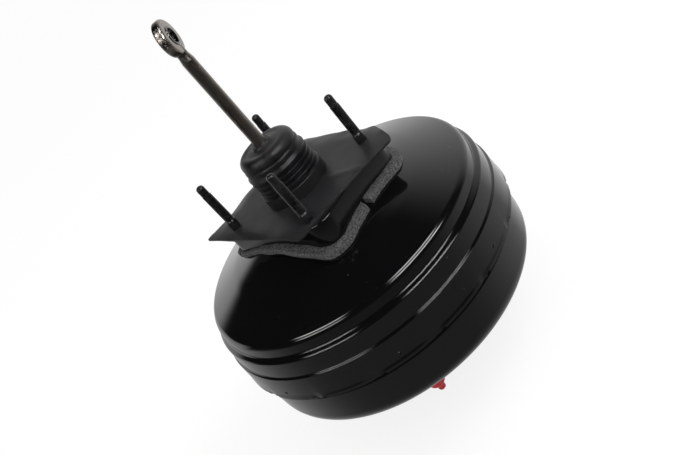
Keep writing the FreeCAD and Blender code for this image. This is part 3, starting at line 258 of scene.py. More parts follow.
for vertex in rear_shell.data.vertices:
    radius = math.hypot(vertex.co.x, vertex.co.y)
    if radius > SKIRT_RADIUS * MM and vertex.co.z < DENT_TOP * MM:
        angle = math.degrees(math.atan2(vertex.co.y, vertex.co.x))
        vertex.co.xy *= 1 - dent(angle, vertex.co.z / MM) * MM / radius
print("deepest dent", round(dent(CRIMP_START, -100), 2), "mm")

# %% [markdown]
# The boss is joined on before the hollow is cut, so its walls end flush with the inside of the dome.
# Then come the neck for the hub, the stud holes, the slots that the crimping punch left, and the vents.

# %% Rear shell: boss, hollow, neck and holes
boss = raise_outline(rectangle(65, 51, 16), -48, 46.5, edge=1, arc_steps=12)
combine(rear_shell, boss, "UNION")
combine(rear_shell, hollow, "DIFFERENCE")
combine(rear_shell, raise_outline(rectangle(63.4, 49.4, 14.4), -34, 30.9, arc_steps=12), "DIFFERENCE")
combine(rear_shell, peg(23.6, -2.4, 8, sides=96), "UNION")
combine(rear_shell, peg(22, -12, 20, sides=96), "DIFFERENCE")
combine(rear_shell, join([peg(4.3, -8, 4, place) for place in STUDS]), "DIFFERENCE")


def slot_at(angle, width, low, high, inner=134.6, outer=142):
    start_clean()
    turned = math.radians(angle)
    middle = (inner + outer) / 2 * MM
    bpy.ops.mesh.primitive_cube_add(size=1, rotation=(0, 0, turned), location=(
        middle * math.cos(turned), middle * math.sin(turned), (low + high) / 2 * MM))
    bpy.ops.transform.resize(value=((outer - inner) * MM, width * MM, (high - low) * MM),
                             orient_type="LOCAL")
    bpy.ops.object.transform_apply(location=True, rotation=True, scale=True)
    return bpy.context.object


def vent_at(angle):
    start_clean()
    turned = math.radians(angle)
    reach = SKIRT_RADIUS * MM
    bpy.ops.mesh.primitive_cylinder_add(
        vertices=32, radius=1.3 * MM, depth=10 * MM, rotation=(0, math.pi / 2, turned),
        location=(reach * math.cos(turned), reach * math.sin(turned), VENT_HEIGHT * MM))
    bpy.ops.object.transform_apply(location=True, rotation=True, scale=True)
    return bpy.context.object


VENT_HEIGHT = -91.5
SLOT_START = CRIMP_START + 2.6
slots = [slot_at(SLOT_START + CRIMP_TURN * k, 4, -102, -98.2) for k in range(CRIMPS)]
vents = [vent_at(3 + 45 * k) for k in range(8)]
combine(rear_shell, join(slots + vents), "DIFFERENCE")
tabs = [slot_at(CRIMP_START + CRIMP_TURN * k, 11, -100, -98.65, 133.9, 136.8) for k in range(CRIMPS)]
combine(rear_shell, join(tabs), "UNION")
settle(rear_shell, "rear_shell", crease=28)

# %% [markdown]
# The front shell is a deep bowl whose flange sits inside the skirt, with a narrow groove below the
# skirt's edge that shows as a dark line. Only its side shows in the photograph, but the face for the
# master cylinder is there for every other view.

# %% Front shell
VALVE = (70.216, -66.633)
CYLINDER_STUDS = (-40, 40)
front_shell = lathe("front_shell", [
    (19, -158), (61, -158, 6), (76, -146, 6), (132.8, -146, 16), (133.5, -105, 3), (132, -101.8, 1),
    (132, -98.5), (136.25, -98.5), (136.25, -96.9), (130.6, -96.9), (130.6, -102.2, 1), (132, -106, 3),
    (131.2, -144.4, 14.4), (76, -144.4, 6), (61, -156.4, 6), (19, -156.4)], steps=320, arc_steps=8)
holes = [peg(4.3, -170, -150, (x, 0)) for x in CYLINDER_STUDS]
combine(front_shell, join(holes + [peg(9.5, -160, -135, VALVE)]), "DIFFERENCE")
settle(front_shell, "front_shell", crease=28)

# %% [markdown]
# A thin rubber sheet lies on the boss and seals it to the firewall. Its overhang has nothing under it,
# so it droops a little and never lies quite flat. The outline is raised, its holes are cut, and it is
# sliced into small cells, so that the overhang can bend.

# %% Firewall gasket
sheet = raise_outline([(-80, -55, 2), (52, -60, 10), (80, 42, 10), (48, 61, 10), (-56, 69, 10),
                       (-80, -21, 10)], -1.5, 1.5)
holes = [peg(4.4, -4, 4, place) for place in STUDS]
combine(sheet, join(holes + [peg(24, -4, 4, sides=96)]), "DIFFERENCE")
take(sheet)
bpy.ops.object.mode_set(mode="EDIT")
for axis, reach in ((0, 82), (1, 70)):
    for place in range(-reach, reach + 1, 3):
        bpy.ops.mesh.select_all(action="SELECT")
        point = [0, 0, 0]
        normal = [0, 0, 0]
        point[axis] = (place + 0.37) * MM
        normal[axis] = 1
        bpy.ops.mesh.bisect(plane_co=point, plane_no=normal)
bpy.ops.object.mode_set(mode="OBJECT")


def droop(x, y):
    beyond = max(abs(x) - 62, abs(y) - 49, 0)
    wave = noise.noise(Vector((x * 0.045, y * 0.045, 3.1)))
    tip = min(max((-x - 50) / 25, 0), 1) * min(max((-y - 30) / 20, 0), 1)
    sag = beyond * beyond * 0.012 * (1 + 0.5 * wave) + min(beyond, 6) * 0.14 * (wave + 0.4)
    return sag * (1 - 0.9 * tip)


def lift(x, y):
    along = (x - 26) * 0.983 + (y - 1) * 0.182
    across = -(x - 26) * 0.182 + (y - 1) * 0.983
    crease = 0.7 * math.exp(-(across / 2.2) ** 2) * min(max(along / 8, 0), 1)
    return crease + 0.25 * max(noise.noise(Vector((x * 0.05, y * 0.05, 8.4))), 0)


for vertex in sheet.data.vertices:
    x, y = vertex.co.x / MM, vertex.co.y / MM
    vertex.co.z += (lift(x, y) - max(droop(x, y), 0)) * MM
firewall_gasket = settle(sheet, "firewall_gasket", crease=50)
print("lowest edge", round(min(v.co.z for v in firewall_gasket.data.vertices) / MM, 1), "mm")

# %% [markdown]
# A foam frame lies on the dome round the boss. It is two cut strips, not one ring, and they meet in an
# open V beside the boss. A raised outline has the form of the boss cut out of it, and the frame that is
# left is sliced and laid on the slope of the dome point by point. Its width wanders as soft foam does.

# %% Foam frame round the boss
def dome_height(radius):
    if radius < 50:
        return -18.5
    if radius < 92:
        return -18.5 - (radius - 50) * 13.5 / 42
    return -32 - (radius - 92) * 13.5 / 37


def foam_half(name, cut_point, cut_normal):
    inner = raise_outline(rectangle(65.2, 51.2, 16.2), -1, 9, arc_steps=8)
    strip = raise_outline(rectangle(73.1, 59.1, 24), 0, 4.6, edge=0.9, arc_steps=8)
    combine(strip, inner, "DIFFERENCE")
    take(strip)
    bpy.ops.object.mode_set(mode="EDIT")
    for axis, reach in ((0, 74), (1, 60)):
        for place in range(-reach, reach + 1, 2):
            bpy.ops.mesh.select_all(action="SELECT")
            point, normal = [0, 0, 0], [0, 0, 0]
            point[axis], normal[axis] = (place + 0.41) * MM, 1
            bpy.ops.mesh.bisect(plane_co=point, plane_no=normal)
    bpy.ops.mesh.select_all(action="SELECT")
    bpy.ops.mesh.bisect(plane_co=[value * MM for value in cut_point], plane_no=cut_normal,
                        clear_outer=True, use_fill=True)
    bpy.ops.object.mode_set(mode="OBJECT")
    for vertex in strip.data.vertices:
        x, y, z = vertex.co / MM
        ring = Vector((math.copysign(max(abs(x) - 49, 0), x), math.copysign(max(abs(y) - 35, 0), y)))
        outward = ring.normalized()
        depth = min(max((ring.length - 16.2) / 7.9, 0), 1)
        thin = 4.2 * min(max((12 - x) / 40, 0), 1) if y < -50 else 0
        sway = 1.3 * noise.noise(Vector((x * 0.06, y * 0.06, 7.7))) - 1.2
        shift = outward * depth * (sway - thin)
        x, y = x + shift.x, y + shift.y
        swell = 0.22 * noise.noise(Vector((x * 0.09, y * 0.09, 1.3)))
        broken = 0.35 * noise.noise(Vector((x * 0.9, y * 0.9, z * 0.9)))
        z = dome_height(math.hypot(x, y)) + 0.15 + z * (1 + swell) + broken * (z > 1)
        vertex.co = Vector((x, y, z)) * MM
    return settle(strip, name, crease=50)


foam_seal_front = foam_half("foam_seal_front", (60, -6.4, 0), (0.3, 1, 0))
foam_seal_back = foam_half("foam_seal_back", (60, -5.6, 0), (0.12, -1, 0))

# %% [markdown]
# Each firewall stud is pressed into a plate under the boss. It has a plain root, a fine rolled thread
# and a rounded guide point. A rolled thread is a helix, so its section is swept by the Screw modifier
# round a turned core, one turn for each pitch.

# %% Firewall studs
def sweep_up(profile, pitch, turns, steps):
    """Sweep a closed wire of (x, z) points up the Z axis, and close both ends."""
    count = len(profile)
    piece = draw_wire([Vector((x, 0, z)) * MM for x, z in profile], True)
    bpy.ops.object.mode_set(mode="OBJECT")
    bpy.ops.object.modifier_add(type="SCREW")
    screw = piece.modifiers[-1]
    screw.axis = "Z"
    screw.screw_offset = pitch * MM
    screw.iterations = turns
    screw.steps = screw.render_steps = steps
    bpy.ops.object.modifier_apply(modifier=screw.name)
    total = len(piece.data.vertices)
    for ends in (range(count), range(total - count, total)):
        bpy.ops.object.mode_set(mode="EDIT")
        bpy.ops.mesh.select_mode(type="VERT")
        bpy.ops.mesh.select_all(action="DESELECT")
        bpy.ops.object.mode_set(mode="OBJECT")
        for index in ends:
            piece.data.vertices[index].select = True
        bpy.ops.object.mode_set(mode="EDIT")
        bpy.ops.mesh.edge_face_add()
    bpy.ops.mesh.select_all(action="SELECT")
    bpy.ops.mesh.normals_make_consistent(inside=False)
    bpy.ops.object.mode_set(mode="OBJECT")
    return piece


def threaded_stud(name, core, profile, pitch, turns):
    body = lathe(name, core, steps=32, arc_steps=5)
    thread = sweep_up(profile, pitch, turns, 28)
    settle(thread, "thread", crease=20)
    return join([body, thread])


def copy_to(piece, x, y):
    take(piece)
    bpy.ops.object.duplicate(linked=False)
    bpy.ops.transform.translate(value=(x * MM, y * MM, 0))
    return bpy.context.object


stud = threaded_stud("stud", [
    (0, -8.7), (6.5, -8.7, 0.6), (6.5, -6.1, 0.4), (4.3, -6.1), (4.3, 7.2, 0.4), (3.6, 8.2),
    (3.35, 9), (3.35, 37.4), (3.3, 38), (3.55, 38.5, 0.2), (3.55, 47.5, 2.9), (0, 47.5)],
    [(3.25, 8.5), (4.0, 8.98), (4.0, 9.12), (3.25, 9.6)], 1.25, 23)
studs = [copy_to(stud, x, y) for x, y in STUDS]
bpy.data.objects.remove(stud)
firewall_studs = settle(join(studs), "firewall_studs", crease=20)

cylinder_stud = threaded_stud("cylinder_stud", [
    (0, -186), (3.3, -186, 0.8), (3.38, -184.6), (3.38, -159), (4.3, -158), (4.3, -153.9),
    (5.6, -153.9, 0.4), (5.6, -151.3, 0.6), (0, -151.3)],
    [(3.3, -184.9), (3.95, -184.48), (3.95, -184.32), (3.3, -183.9)], 1.25, 20)
pair = [copy_to(cylinder_stud, x, 0) for x in CYLINDER_STUDS]
bpy.data.objects.remove(cylinder_stud)
master_cylinder_studs = settle(join(pair), "master_cylinder_studs", crease=20)

# %% [markdown]
# The dust boot is one moulding. A plain base grips the neck, four thin ribs let it fold, and a wide
# rounded cap wipes the rod. The ribs are thin fins with dark gaps, so each has its own crest and root.

# %% Dust boot
boot_outside = [(28.6, 0.15, 0.5), (28.6, 10.5, 0.8)]
boot_inside = [(23.75, 0.15), (23.75, 8.5, 0.5)]
for rib in range(4):
    low = 10.5 + 4.6 * rib
    boot_outside += [(24.6, low + 0.7, 0.3), (24.6, low + 2.5, 0.3)]
    boot_outside += [(27.4, low + 3.3, 0.4), (27.4, low + 4.5, 0.4)]
boot_outside += [(25.8, 31.4, 0.5), (25.8, 35.5, 1.2), (24.2, 36.5, 0.8), (25.4, 37.5, 1.4),
                 (25.4, 46, 6.5), (15, 45.4, 3), (9.4, 46, 1), (8.2, 48, 0.9)]
boot_inside += [(22.6, 10.5), (22.6, 37.5), (22.6, 44, 3), (5.7, 44), (5.7, 48)]
dust_boot = lathe("dust_boot", boot_outside + boot_inside[::-1], steps=144, arc_steps=5)

# %% [markdown]
# The push rod is turned from bar, and its end is flattened into an eye with a plated bush. The eye is a
# thick disc set across the rod, joined to it, and drilled.

# %% Push rod, eye and bush
EYE_TURN = math.radians(39)
EYE_HEIGHT = 152


def across_rod(radius, length, edge=0, sides=96):
    start_clean()
    bpy.ops.mesh.primitive_cylinder_add(
        vertices=sides, radius=radius * MM, depth=length * MM,
        rotation=(0, math.pi / 2, EYE_TURN), location=(0, 0, EYE_HEIGHT * MM))
    disc = bpy.context.object
    if edge:
        bpy.ops.object.modifier_add(type="BEVEL")
        disc.modifiers[-1].width = edge * MM
        disc.modifiers[-1].segments = 4
        bpy.ops.object.modifier_apply(modifier=disc.modifiers[-1].name)
    bpy.ops.object.transform_apply(location=True, rotation=True, scale=True)
    return disc


input_rod = lathe("input_rod", [
    (0, -40.5), (4.5, -40.5, 4.45), (4.5, -36), (4.4, -34.95), (4.0, -33.9), (3.2, -32.84), (3.2, -22.5),
    (5.4, -18.5), (5.4, 6), (9.5, 6, 0.4), (9.5, 7.6, 0.4), (5.4, 7.6), (5.4, 131, 4), (4.5, 136, 4),
    (4.5, 147), (0, 147)], steps=64)
combine(input_rod, across_rod(14.8, 8, edge=2.4), "UNION")
combine(input_rod, across_rod(7.9, 20), "DIFFERENCE")
settle(input_rod, "input_rod", crease=30)
eye_bush = across_rod(7.9, 9.2, edge=0.5)
combine(eye_bush, across_rod(6.1, 20), "DIFFERENCE")
settle(eye_bush, "eye_bush", crease=30)

# %% [markdown]
# The check valve plugs into the front shell through a rubber grommet, and a red cap keeps dirt out of
# its nozzle until the hose goes on. The tip of that cap is the one spot of colour in the photograph.

# %% Check valve, grommet and transport cap
valve_grommet = lathe("valve_grommet", [
    (7, -149.6), (12.5, -149.6, 0.8), (12.5, -146), (9.5, -146), (9.5, -144.4), (12.5, -144.4, 0.5),
    (10.7, -140.8, 0.8), (7, -140.8)], steps=64, at=VALVE)
check_valve_body = lathe("check_valve_body", [
    (3, -139.2), (7.72, -139.2, 0.4), (7.72, -140.72), (6.92, -140.72), (6.92, -149.68),
    (11, -149.68, 0.5), (11, -159.1, 3), (5, -159.1, 0.6), (5, -164.2), (5.9, -164.2, 0.3),
    (5, -166.6), (3, -166.6), (3, -157.5), (7.6, -157.5), (7.6, -151.2), (3, -151.2)],
    steps=64, at=VALVE)
transport_cap = lathe("transport_cap", [
    (0, -166.7), (6, -166.7), (6, -159.2), (9.8, -159.2, 0.4), (9.8, -160.7, 0.4), (7.2, -160.7, 0.4),
    (7.2, -167.2, 2), (3.6, -169.6, 1.5), (3.2, -175.4, 1.2), (0, -175.4)], steps=64, at=VALVE)

# %% [markdown]
# The springs are hidden, but they have to close up as the piston moves. Each is a round wire swept up
# its axis by the same Screw modifier as the thread.

# %% Coil springs
def coil(name, radius, wire, bottom, top, turns, at=(0, 0), sides=12):
    angles = [math.tau * k / sides for k in range(sides)]
    ring = [(radius + wire * math.cos(turn), bottom + wire + wire * math.sin(turn)) for turn in angles]
    spring = sweep_up(ring, (top - bottom - 2 * wire) / turns, turns, 36)
    spring.location = (at[0] * MM, at[1] * MM, 0)
    return settle(spring, name, crease=60)


springs = {}
for name, wire, turns, place in (
        ("main_return_spring", 2, 5, (0, 0)), ("input_return_spring", 0.8, 3, (0, 0)),
        ("poppet_spring", 0.5, 4, (0, 0)), ("check_valve_spring", 0.35, 3, VALVE)):
    low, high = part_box(name)
    wide = (high.x - low.x) / 2 / MM - wire
    springs[name] = coil(name, wide, wire, low.z / MM, high.z / MM, turns, place)

# %% [markdown]
# Each diaphragm is a rubber membrane on the back of its piston plate, with one rolling fold and a bead
# clamped at the shell. Its middle moves with the piston and its bead stays.

# %% Diaphragms
RUBBER = 1.8


def diaphragm(name, depth, hole, low, high, bead_inner, bead_outer):
    middle = (low + high) / 2
    fold = low - 2.5
    return lathe(name, [
        (hole, -depth), (106.15, -depth), (106.15, fold - RUBBER, 4.5), (119.75, fold - RUBBER, 4.5),
        (119.75, middle - RUBBER / 2), (bead_inner, middle - RUBBER / 2), (bead_inner, low, 0.6),
        (bead_outer, low, 0.6), (bead_outer, high, 0.6), (bead_inner, high, 0.6),
        (bead_inner, middle + RUBBER / 2), (117.95, middle + RUBBER / 2), (117.95, fold, 3),
        (107.95, fold, 3), (107.95, -depth + RUBBER, 0.8), (hole, -depth + RUBBER)], steps=160)


rear_diaphragm = diaphragm("rear_diaphragm", 46.2, 19, -68, -63, 124.6, 132.45)
front_diaphragm = diaphragm("front_diaphragm", 89.3, 20, -96.9, -91.9, 131.2, 136.25)

# %% [markdown]
# Finishes are mixed from noise at the scale of the real surface. One helper starts a material and
# hands over its nodes; another adds noise on Object coordinates, so a pattern stays on its piece when
# the piece moves.

# %% Helpers for finishes
FINISHES = {}


def new_finish(name, rough, metal=0.0, sheen=0.5):
    material = bpy.data.materials.new(name + "_finish")
    material.use_nodes = True
    FINISHES[name] = material
    nodes = material.node_tree.nodes
    shader = nodes["Principled BSDF"]
    shader.inputs["Roughness"].default_value = rough
    shader.inputs["Metallic"].default_value = metal
    shader.inputs["Specular IOR Level"].default_value = sheen
    return material


def speckle(material, scale, detail=3, rough=0.5, stretch=(1, 1, 1)):
    nodes, links = material.node_tree.nodes, material.node_tree.links
    place = nodes.new("ShaderNodeTexCoord")
    turn = nodes.new("ShaderNodeMapping")
    turn.inputs["Scale"].default_value = stretch
    grain = nodes.new("ShaderNodeTexNoise")
    grain.inputs["Scale"].default_value = scale
    grain.inputs["Detail"].default_value = detail
    grain.inputs["Roughness"].default_value = rough
    links.new(place.outputs["Object"], turn.inputs["Vector"])
    links.new(turn.outputs["Vector"], grain.inputs["Vector"])
    return grain.outputs["Fac"]


def between(material, factor, low, high, start=0.35, end=0.65):
    nodes, links = material.node_tree.nodes, material.node_tree.links
    ramp = nodes.new("ShaderNodeValToRGB")
    for stop, place, value in zip(ramp.color_ramp.elements, (start, end), (low, high)):
        stop.position = place
        stop.color = (*value, 1) if isinstance(value, tuple) else (value, value, value, 1)
    links.new(factor, ramp.inputs["Fac"])
    return ramp.outputs["Color"]


def blend_colours(material, factor, first, second):
    nodes, links = material.node_tree.nodes, material.node_tree.links
    mix = nodes.new("ShaderNodeMix")
    mix.data_type = "RGBA"
    for value, socket in ((factor, mix.inputs[0]), (first, mix.inputs[6]), (second, mix.inputs[7])):
        if isinstance(value, tuple):
            socket.default_value = (*value, 1)
        else:
            links.new(value, socket)
    return mix.outputs[2]


def paint_with(material, colour=None, roughness=None, heights=()):
    nodes, links = material.node_tree.nodes, material.node_tree.links
    shader = nodes["Principled BSDF"]
    if colour is not None:
        links.new(colour, shader.inputs["Base Color"])
    if roughness is not None:
        links.new(roughness, shader.inputs["Roughness"])
    normal = None
    for height, strength, depth in heights:
        bump = nodes.new("ShaderNodeBump")
        bump.inputs["Strength"].default_value = strength
        bump.inputs["Distance"].default_value = depth
        links.new(height, bump.inputs["Height"])
        if normal is not None:
            links.new(normal, bump.inputs["Normal"])
        normal = bump.outputs["Normal"]
    if normal is not None:
        links.new(normal, shader.inputs["Normal"])
    return material

# %% [markdown]
# The shells have a thick, glossy black enamel. It is nearly black, its gloss wanders where hands and
# dust have been, it has the faint orange peel of sprayed paint, and a few pale specks.

# %% Black enamel of the shells
black_paint = new_finish("black_paint", 0.16)
smudge = speckle(black_paint, 18, detail=5, rough=0.6)
specks = speckle(black_paint, 420, detail=1)
dust = between(black_paint, specks, (0.0045, 0.0045, 0.005), (0.09, 0.09, 0.09), 0.80, 0.84)
paint_with(black_paint, colour=dust, roughness=between(black_paint, smudge, 0.06, 0.11),
           heights=[(speckle(black_paint, 300, detail=2), 0.15, 0.00003),
                    (speckle(black_paint, 30, detail=2), 0.3, 0.0001)])
print("enamel made")

# %% [markdown]
# The foam is open-celled and grey with a fine grain. Two noises, one at the size of a cell and one at
# the size of a clump, give its colour and its broken surface.

# %% Foam, sheet rubber and moulded rubber
grey_foam = new_finish("grey_foam", 0.95, sheen=0.2)
cells = speckle(grey_foam, 620, detail=2, rough=0.7)
clumps = speckle(grey_foam, 160, detail=3)
grains = between(grey_foam, cells, (0.035, 0.035, 0.036), (0.19, 0.19, 0.19), 0.36, 0.64)
patches = between(grey_foam, clumps, (0.0, 0.0, 0.0), (0.45, 0.45, 0.45))
paint_with(grey_foam, colour=blend_colours(grey_foam, patches, grains, (0.09, 0.09, 0.092)),
           heights=[(cells, 0.7, 0.0008), (clumps, 0.5, 0.0008)])

sheet_rubber = new_finish("sheet_rubber", 0.5, sheen=0.4)
haze = speckle(sheet_rubber, 22, detail=4)
fine = speckle(sheet_rubber, 1200, detail=2)
paint_with(sheet_rubber, colour=between(sheet_rubber, haze, (0.006, 0.006, 0.007), (0.015, 0.015, 0.016)),
           roughness=between(sheet_rubber, haze, 0.42, 0.58),
           heights=[(fine, 0.3, 0.00005), (haze, 0.3, 0.0005)])

black_rubber = new_finish("black_rubber", 0.42, sheen=0.3)
bloom = speckle(black_rubber, 60, detail=4)
skin = speckle(black_rubber, 1500, detail=1)
paint_with(black_rubber, colour=between(black_rubber, bloom, (0.005, 0.005, 0.006), (0.012, 0.012, 0.012)),
           roughness=between(black_rubber, bloom, 0.36, 0.5), heights=[(skin, 0.25, 0.00003)])

# %% [markdown]
# The steel pieces differ in their coating. The studs are phosphated nearly black, the rod has a thin
# brownish coat through which the steel shines, and the bush is bright plated steel with turning marks.

# %% Steels
def steel(name, dark, light, rough, grain=120, stretch=(1, 1, 1), metal=1.0, depth=0.00002):
    finish = new_finish(name, sum(rough) / 2, metal=metal)
    patches = speckle(finish, grain, detail=5, rough=0.6, stretch=stretch)
    lines = speckle(finish, 2400, detail=2, stretch=stretch)
    return paint_with(finish, colour=between(finish, patches, dark, light),
                      roughness=between(finish, patches, rough[0], rough[1]),
                      heights=[(lines, 0.35, depth)])


stud_steel = steel("stud_steel", (0.010, 0.010, 0.011), (0.030, 0.030, 0.031), (0.26, 0.4), metal=0.5)
rod_steel = steel("rod_steel", (0.24, 0.205, 0.175), (0.32, 0.30, 0.28), (0.27, 0.33), 70, (1, 1, 0.25),
                  depth=0.000004)
bush_steel = steel("bush_steel", (0.10, 0.098, 0.095), (0.22, 0.215, 0.21), (0.14, 0.24), 200)
plate_steel = steel("plate_steel", (0.28, 0.28, 0.27), (0.46, 0.45, 0.42), (0.32, 0.48), 90)
spring_steel = steel("spring_steel", (0.10, 0.10, 0.11), (0.22, 0.22, 0.23), (0.28, 0.40), 150)

# %% [markdown]
# Last come the plastics and the felt. Moulded plastic has a soft cloudy colour and a fine skin; the
# hub is a dark phenolic, the valve body a black nylon, and the felt is a mat of pale fibres.

# %% Plastics and felt
def moulded(name, dark, light, rough):
    finish = new_finish(name, rough)
    cloud = speckle(finish, 45, detail=4)
    skin = speckle(finish, 1800, detail=1)
    return paint_with(finish, colour=between(finish, cloud, dark, light),
                      roughness=between(finish, cloud, rough - 0.05, rough + 0.06),
                      heights=[(skin, 0.2, 0.00002)])


hub_plastic = moulded("hub_plastic", (0.022, 0.015, 0.011), (0.035, 0.024, 0.018), 0.40)
valve_plastic = moulded("valve_plastic", (0.012, 0.012, 0.013), (0.020, 0.020, 0.021), 0.36)
red_plastic = moulded("red_plastic", (0.36, 0.012, 0.018), (0.46, 0.02, 0.028), 0.35)
filter_felt = new_finish("filter_felt", 0.95, sheen=0.1)
fibres = speckle(filter_felt, 1300, detail=3, stretch=(1, 1, 0.3))
paint_with(filter_felt, colour=between(filter_felt, fibres, (0.30, 0.29, 0.26), (0.62, 0.60, 0.55)),
           heights=[(fibres, 0.8, 0.0003)])
print("finishes", sorted(FINISHES))

# %% [markdown]
# Every piece gets its finish, the body that it moves with, and the solid that it stands for. Only the two
# diaphragms get no body, because each belongs to two. The solids that keep their own shape get the finish
# that their packed material names, or plate steel where no finish has that name.

# %% Finishes and bodies
new_pieces = {
    "rear_shell": (rear_shell, "black_paint"),
    "front_shell": (front_shell, "black_paint"),
    "firewall_gasket": (firewall_gasket, "sheet_rubber"),
    "foam_seal_front": (foam_seal_front, "grey_foam"),
    "foam_seal_back": (foam_seal_back, "grey_foam"),
    "firewall_studs": (firewall_studs, "stud_steel"),
    "master_cylinder_studs": (master_cylinder_studs, "stud_steel"),
    "dust_boot": (dust_boot, "black_rubber"),
    "input_rod": (input_rod, "rod_steel"),
    "eye_bush": (eye_bush, "bush_steel"),
    "valve_grommet": (valve_grommet, "black_rubber"),
    "check_valve_body": (check_valve_body, "valve_plastic"),
    "transport_cap": (transport_cap, "red_plastic"),
    "rear_diaphragm": (rear_diaphragm, "black_rubber"),
    "front_diaphragm": (front_diaphragm, "black_rubber"),
}
for name, spring in springs.items():
    new_pieces[name] = (spring, "spring_steel")
bodies = frame["record"]["behaviour"]["bodies"]
body_of_node = {node: body for body, nodes in bodies.items() for node in nodes}
for node, (piece, finish) in new_pieces.items():
    piece.name = node + "_fine"
    piece.data.materials.clear()
    piece.data.materials.append(FINISHES[finish])
    if node in ("rear_diaphragm", "front_diaphragm"):
        continue
    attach(piece, body_of_node[node])
for node, (piece, finish) in new_pieces.items():
    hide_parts(node)

kept = {name: node for name, node in frame["nodes"].items() if name not in new_pieces}
for name, node in kept.items():
    finish = node.data.materials[0].name.split(".")[0]
    finish = finish if finish in FINISHES else "plate_steel"
    node.data.materials.clear()
    node.data.materials.append(FINISHES[finish])
    print("%-26s keeps its shape, finish %s" % (name, finish))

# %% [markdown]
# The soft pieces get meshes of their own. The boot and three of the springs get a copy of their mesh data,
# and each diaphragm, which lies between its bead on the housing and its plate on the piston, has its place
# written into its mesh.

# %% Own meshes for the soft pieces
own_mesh(dust_boot)
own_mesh(springs["main_return_spring"])
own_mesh(springs["input_return_spring"])
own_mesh(springs["check_valve_spring"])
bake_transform(rear_diaphragm)
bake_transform(front_diaphragm)
print("soft pieces set")

# %% [markdown]
# The camera comes from the photograph: the circles of the shells, the stud tips and the rod fix where
# it stands and how it is turned.

# %% Camera
right = Vector((0.6556, 0.47703, -0.58535))
up = Vector((0.05137, 0.74521, 0.66484))
back = Vector((0.75336, -0.46594, 0.46405))
FOCAL_PIXELS = 800
PHOTO_WIDTH = 683
SENSOR_WIDTH = 36
camera_data = bpy.data.cameras.new("camera")
camera_data.sensor_width = SENSOR_WIDTH
camera_data.lens = FOCAL_PIXELS / PHOTO_WIDTH * SENSOR_WIDTH
camera_data.clip_start = 0.01
camera = bpy.data.objects.new("camera", camera_data)
bpy.context.scene.collection.objects.link(camera)
camera.matrix_world = Matrix((right, up, back)).transposed().to_4x4()
camera.location = (0.50752, -0.30949, 0.25564)
bpy.context.scene.camera = camera

# %% [markdown]
# The photograph looks lit by a bright wall to the right and behind, on a white ground, with the rest of
# the studio dark. Black enamel shows little but its mirror image, so that image has its own tent: a
# staged sphere that only mirror rays see. It holds the wall, the far horizon, the grey ground, and four
# thin strips for the thin bright lines along the shell's rounded edges. A soft lamp and the world give
# the even light.

# %% Studio
world = bpy.data.worlds.new("studio")
bpy.context.scene.world = world
world.use_nodes = True
nodes, links = world.node_tree.nodes, world.node_tree.links
background = nodes["Background"]
rays = nodes.new("ShaderNodeLightPath")
seen = nodes.new("ShaderNodeMath")
seen.operation = "MAXIMUM"
mirrored = nodes.new("ShaderNodeMath")
mirrored.operation = "MAXIMUM"
links.new(rays.outputs["Is Camera Ray"], seen.inputs[0])
links.new(rays.outputs["Is Transmission Ray"], mirrored.inputs[0])
links.new(rays.outputs["Is Glossy Ray"], mirrored.inputs[1])
links.new(mirrored.outputs[0], seen.inputs[1])
level = nodes.new("ShaderNodeMapRange")
level.inputs["To Min"].default_value = 0.55
level.inputs["To Max"].default_value = 1.0
links.new(seen.outputs[0], level.inputs["Value"])
background.inputs["Color"].default_value = (1, 1, 1, 1)
links.new(level.outputs[0], background.inputs["Strength"])

start_clean()
bpy.ops.mesh.primitive_uv_sphere_add(segments=96, ring_count=48, radius=4)
tent = bpy.context.object
tent.name = "mirror_tent"
tent.visible_camera = tent.visible_diffuse = tent.visible_shadow = tent.visible_transmission = False
tent_light = bpy.data.materials.new("tent_light")
tent_light.use_nodes = True
nodes, links = tent_light.node_tree.nodes, tent_light.node_tree.links
nodes.clear()


def step_node(kind, operation=None, **values):
    node = nodes.new(kind)
    if operation:
        node.operation = operation
    for key, value in values.items():
        if isinstance(value, bpy.types.NodeSocket):
            links.new(value, node.inputs[int(key[1:])])
        else:
            node.inputs[int(key[1:])].default_value = value
    return node


def smooth(value, start, end):
    node = nodes.new("ShaderNodeMapRange")
    node.interpolation_type = "SMOOTHSTEP"
    links.new(value, node.inputs["Value"])
    node.inputs["From Min"].default_value = start
    node.inputs["From Max"].default_value = end
    return node.outputs["Result"]


place = nodes.new("ShaderNodeTexCoord")
direction = step_node("ShaderNodeVectorMath", "NORMALIZE", _0=place.outputs["Object"])
parts = nodes.new("ShaderNodeSeparateXYZ")
links.new(direction.outputs["Vector"], parts.inputs[0])
towards_wall = step_node("ShaderNodeVectorMath", "DOT_PRODUCT", _0=direction.outputs["Vector"],
                         _1=(-0.406, 0.914, 0.0))
wall = smooth(towards_wall.outputs["Value"], 0.45, 0.92)
far = smooth(parts.outputs["X"], -0.78, -0.90)
low_edge = smooth(parts.outputs["Z"], -0.70, -0.05)
high_edge = smooth(parts.outputs["Z"], 0.34, 0.20)
horizon = step_node("ShaderNodeMath", "MULTIPLY", _0=low_edge, _1=high_edge)
horizon = step_node("ShaderNodeMath", "MULTIPLY", _0=horizon.outputs[0], _1=far)
towards_front = step_node("ShaderNodeVectorMath", "DOT_PRODUCT", _0=direction.outputs["Vector"],
                          _1=(0.643, -0.766, 0.0))
side_floor = step_node("ShaderNodeMath", "MULTIPLY", _0=smooth(towards_front.outputs["Value"], 0.58, -0.3),
                       _1=smooth(parts.outputs["Z"], -0.02, -0.32))
near_floor = smooth(parts.outputs["Z"], -0.30, -0.42)
bright = step_node("ShaderNodeMath", "MULTIPLY", _0=wall, _1=0.9)
bright = step_node("ShaderNodeMath", "MAXIMUM", _0=bright.outputs[0], _1=horizon.outputs[0])
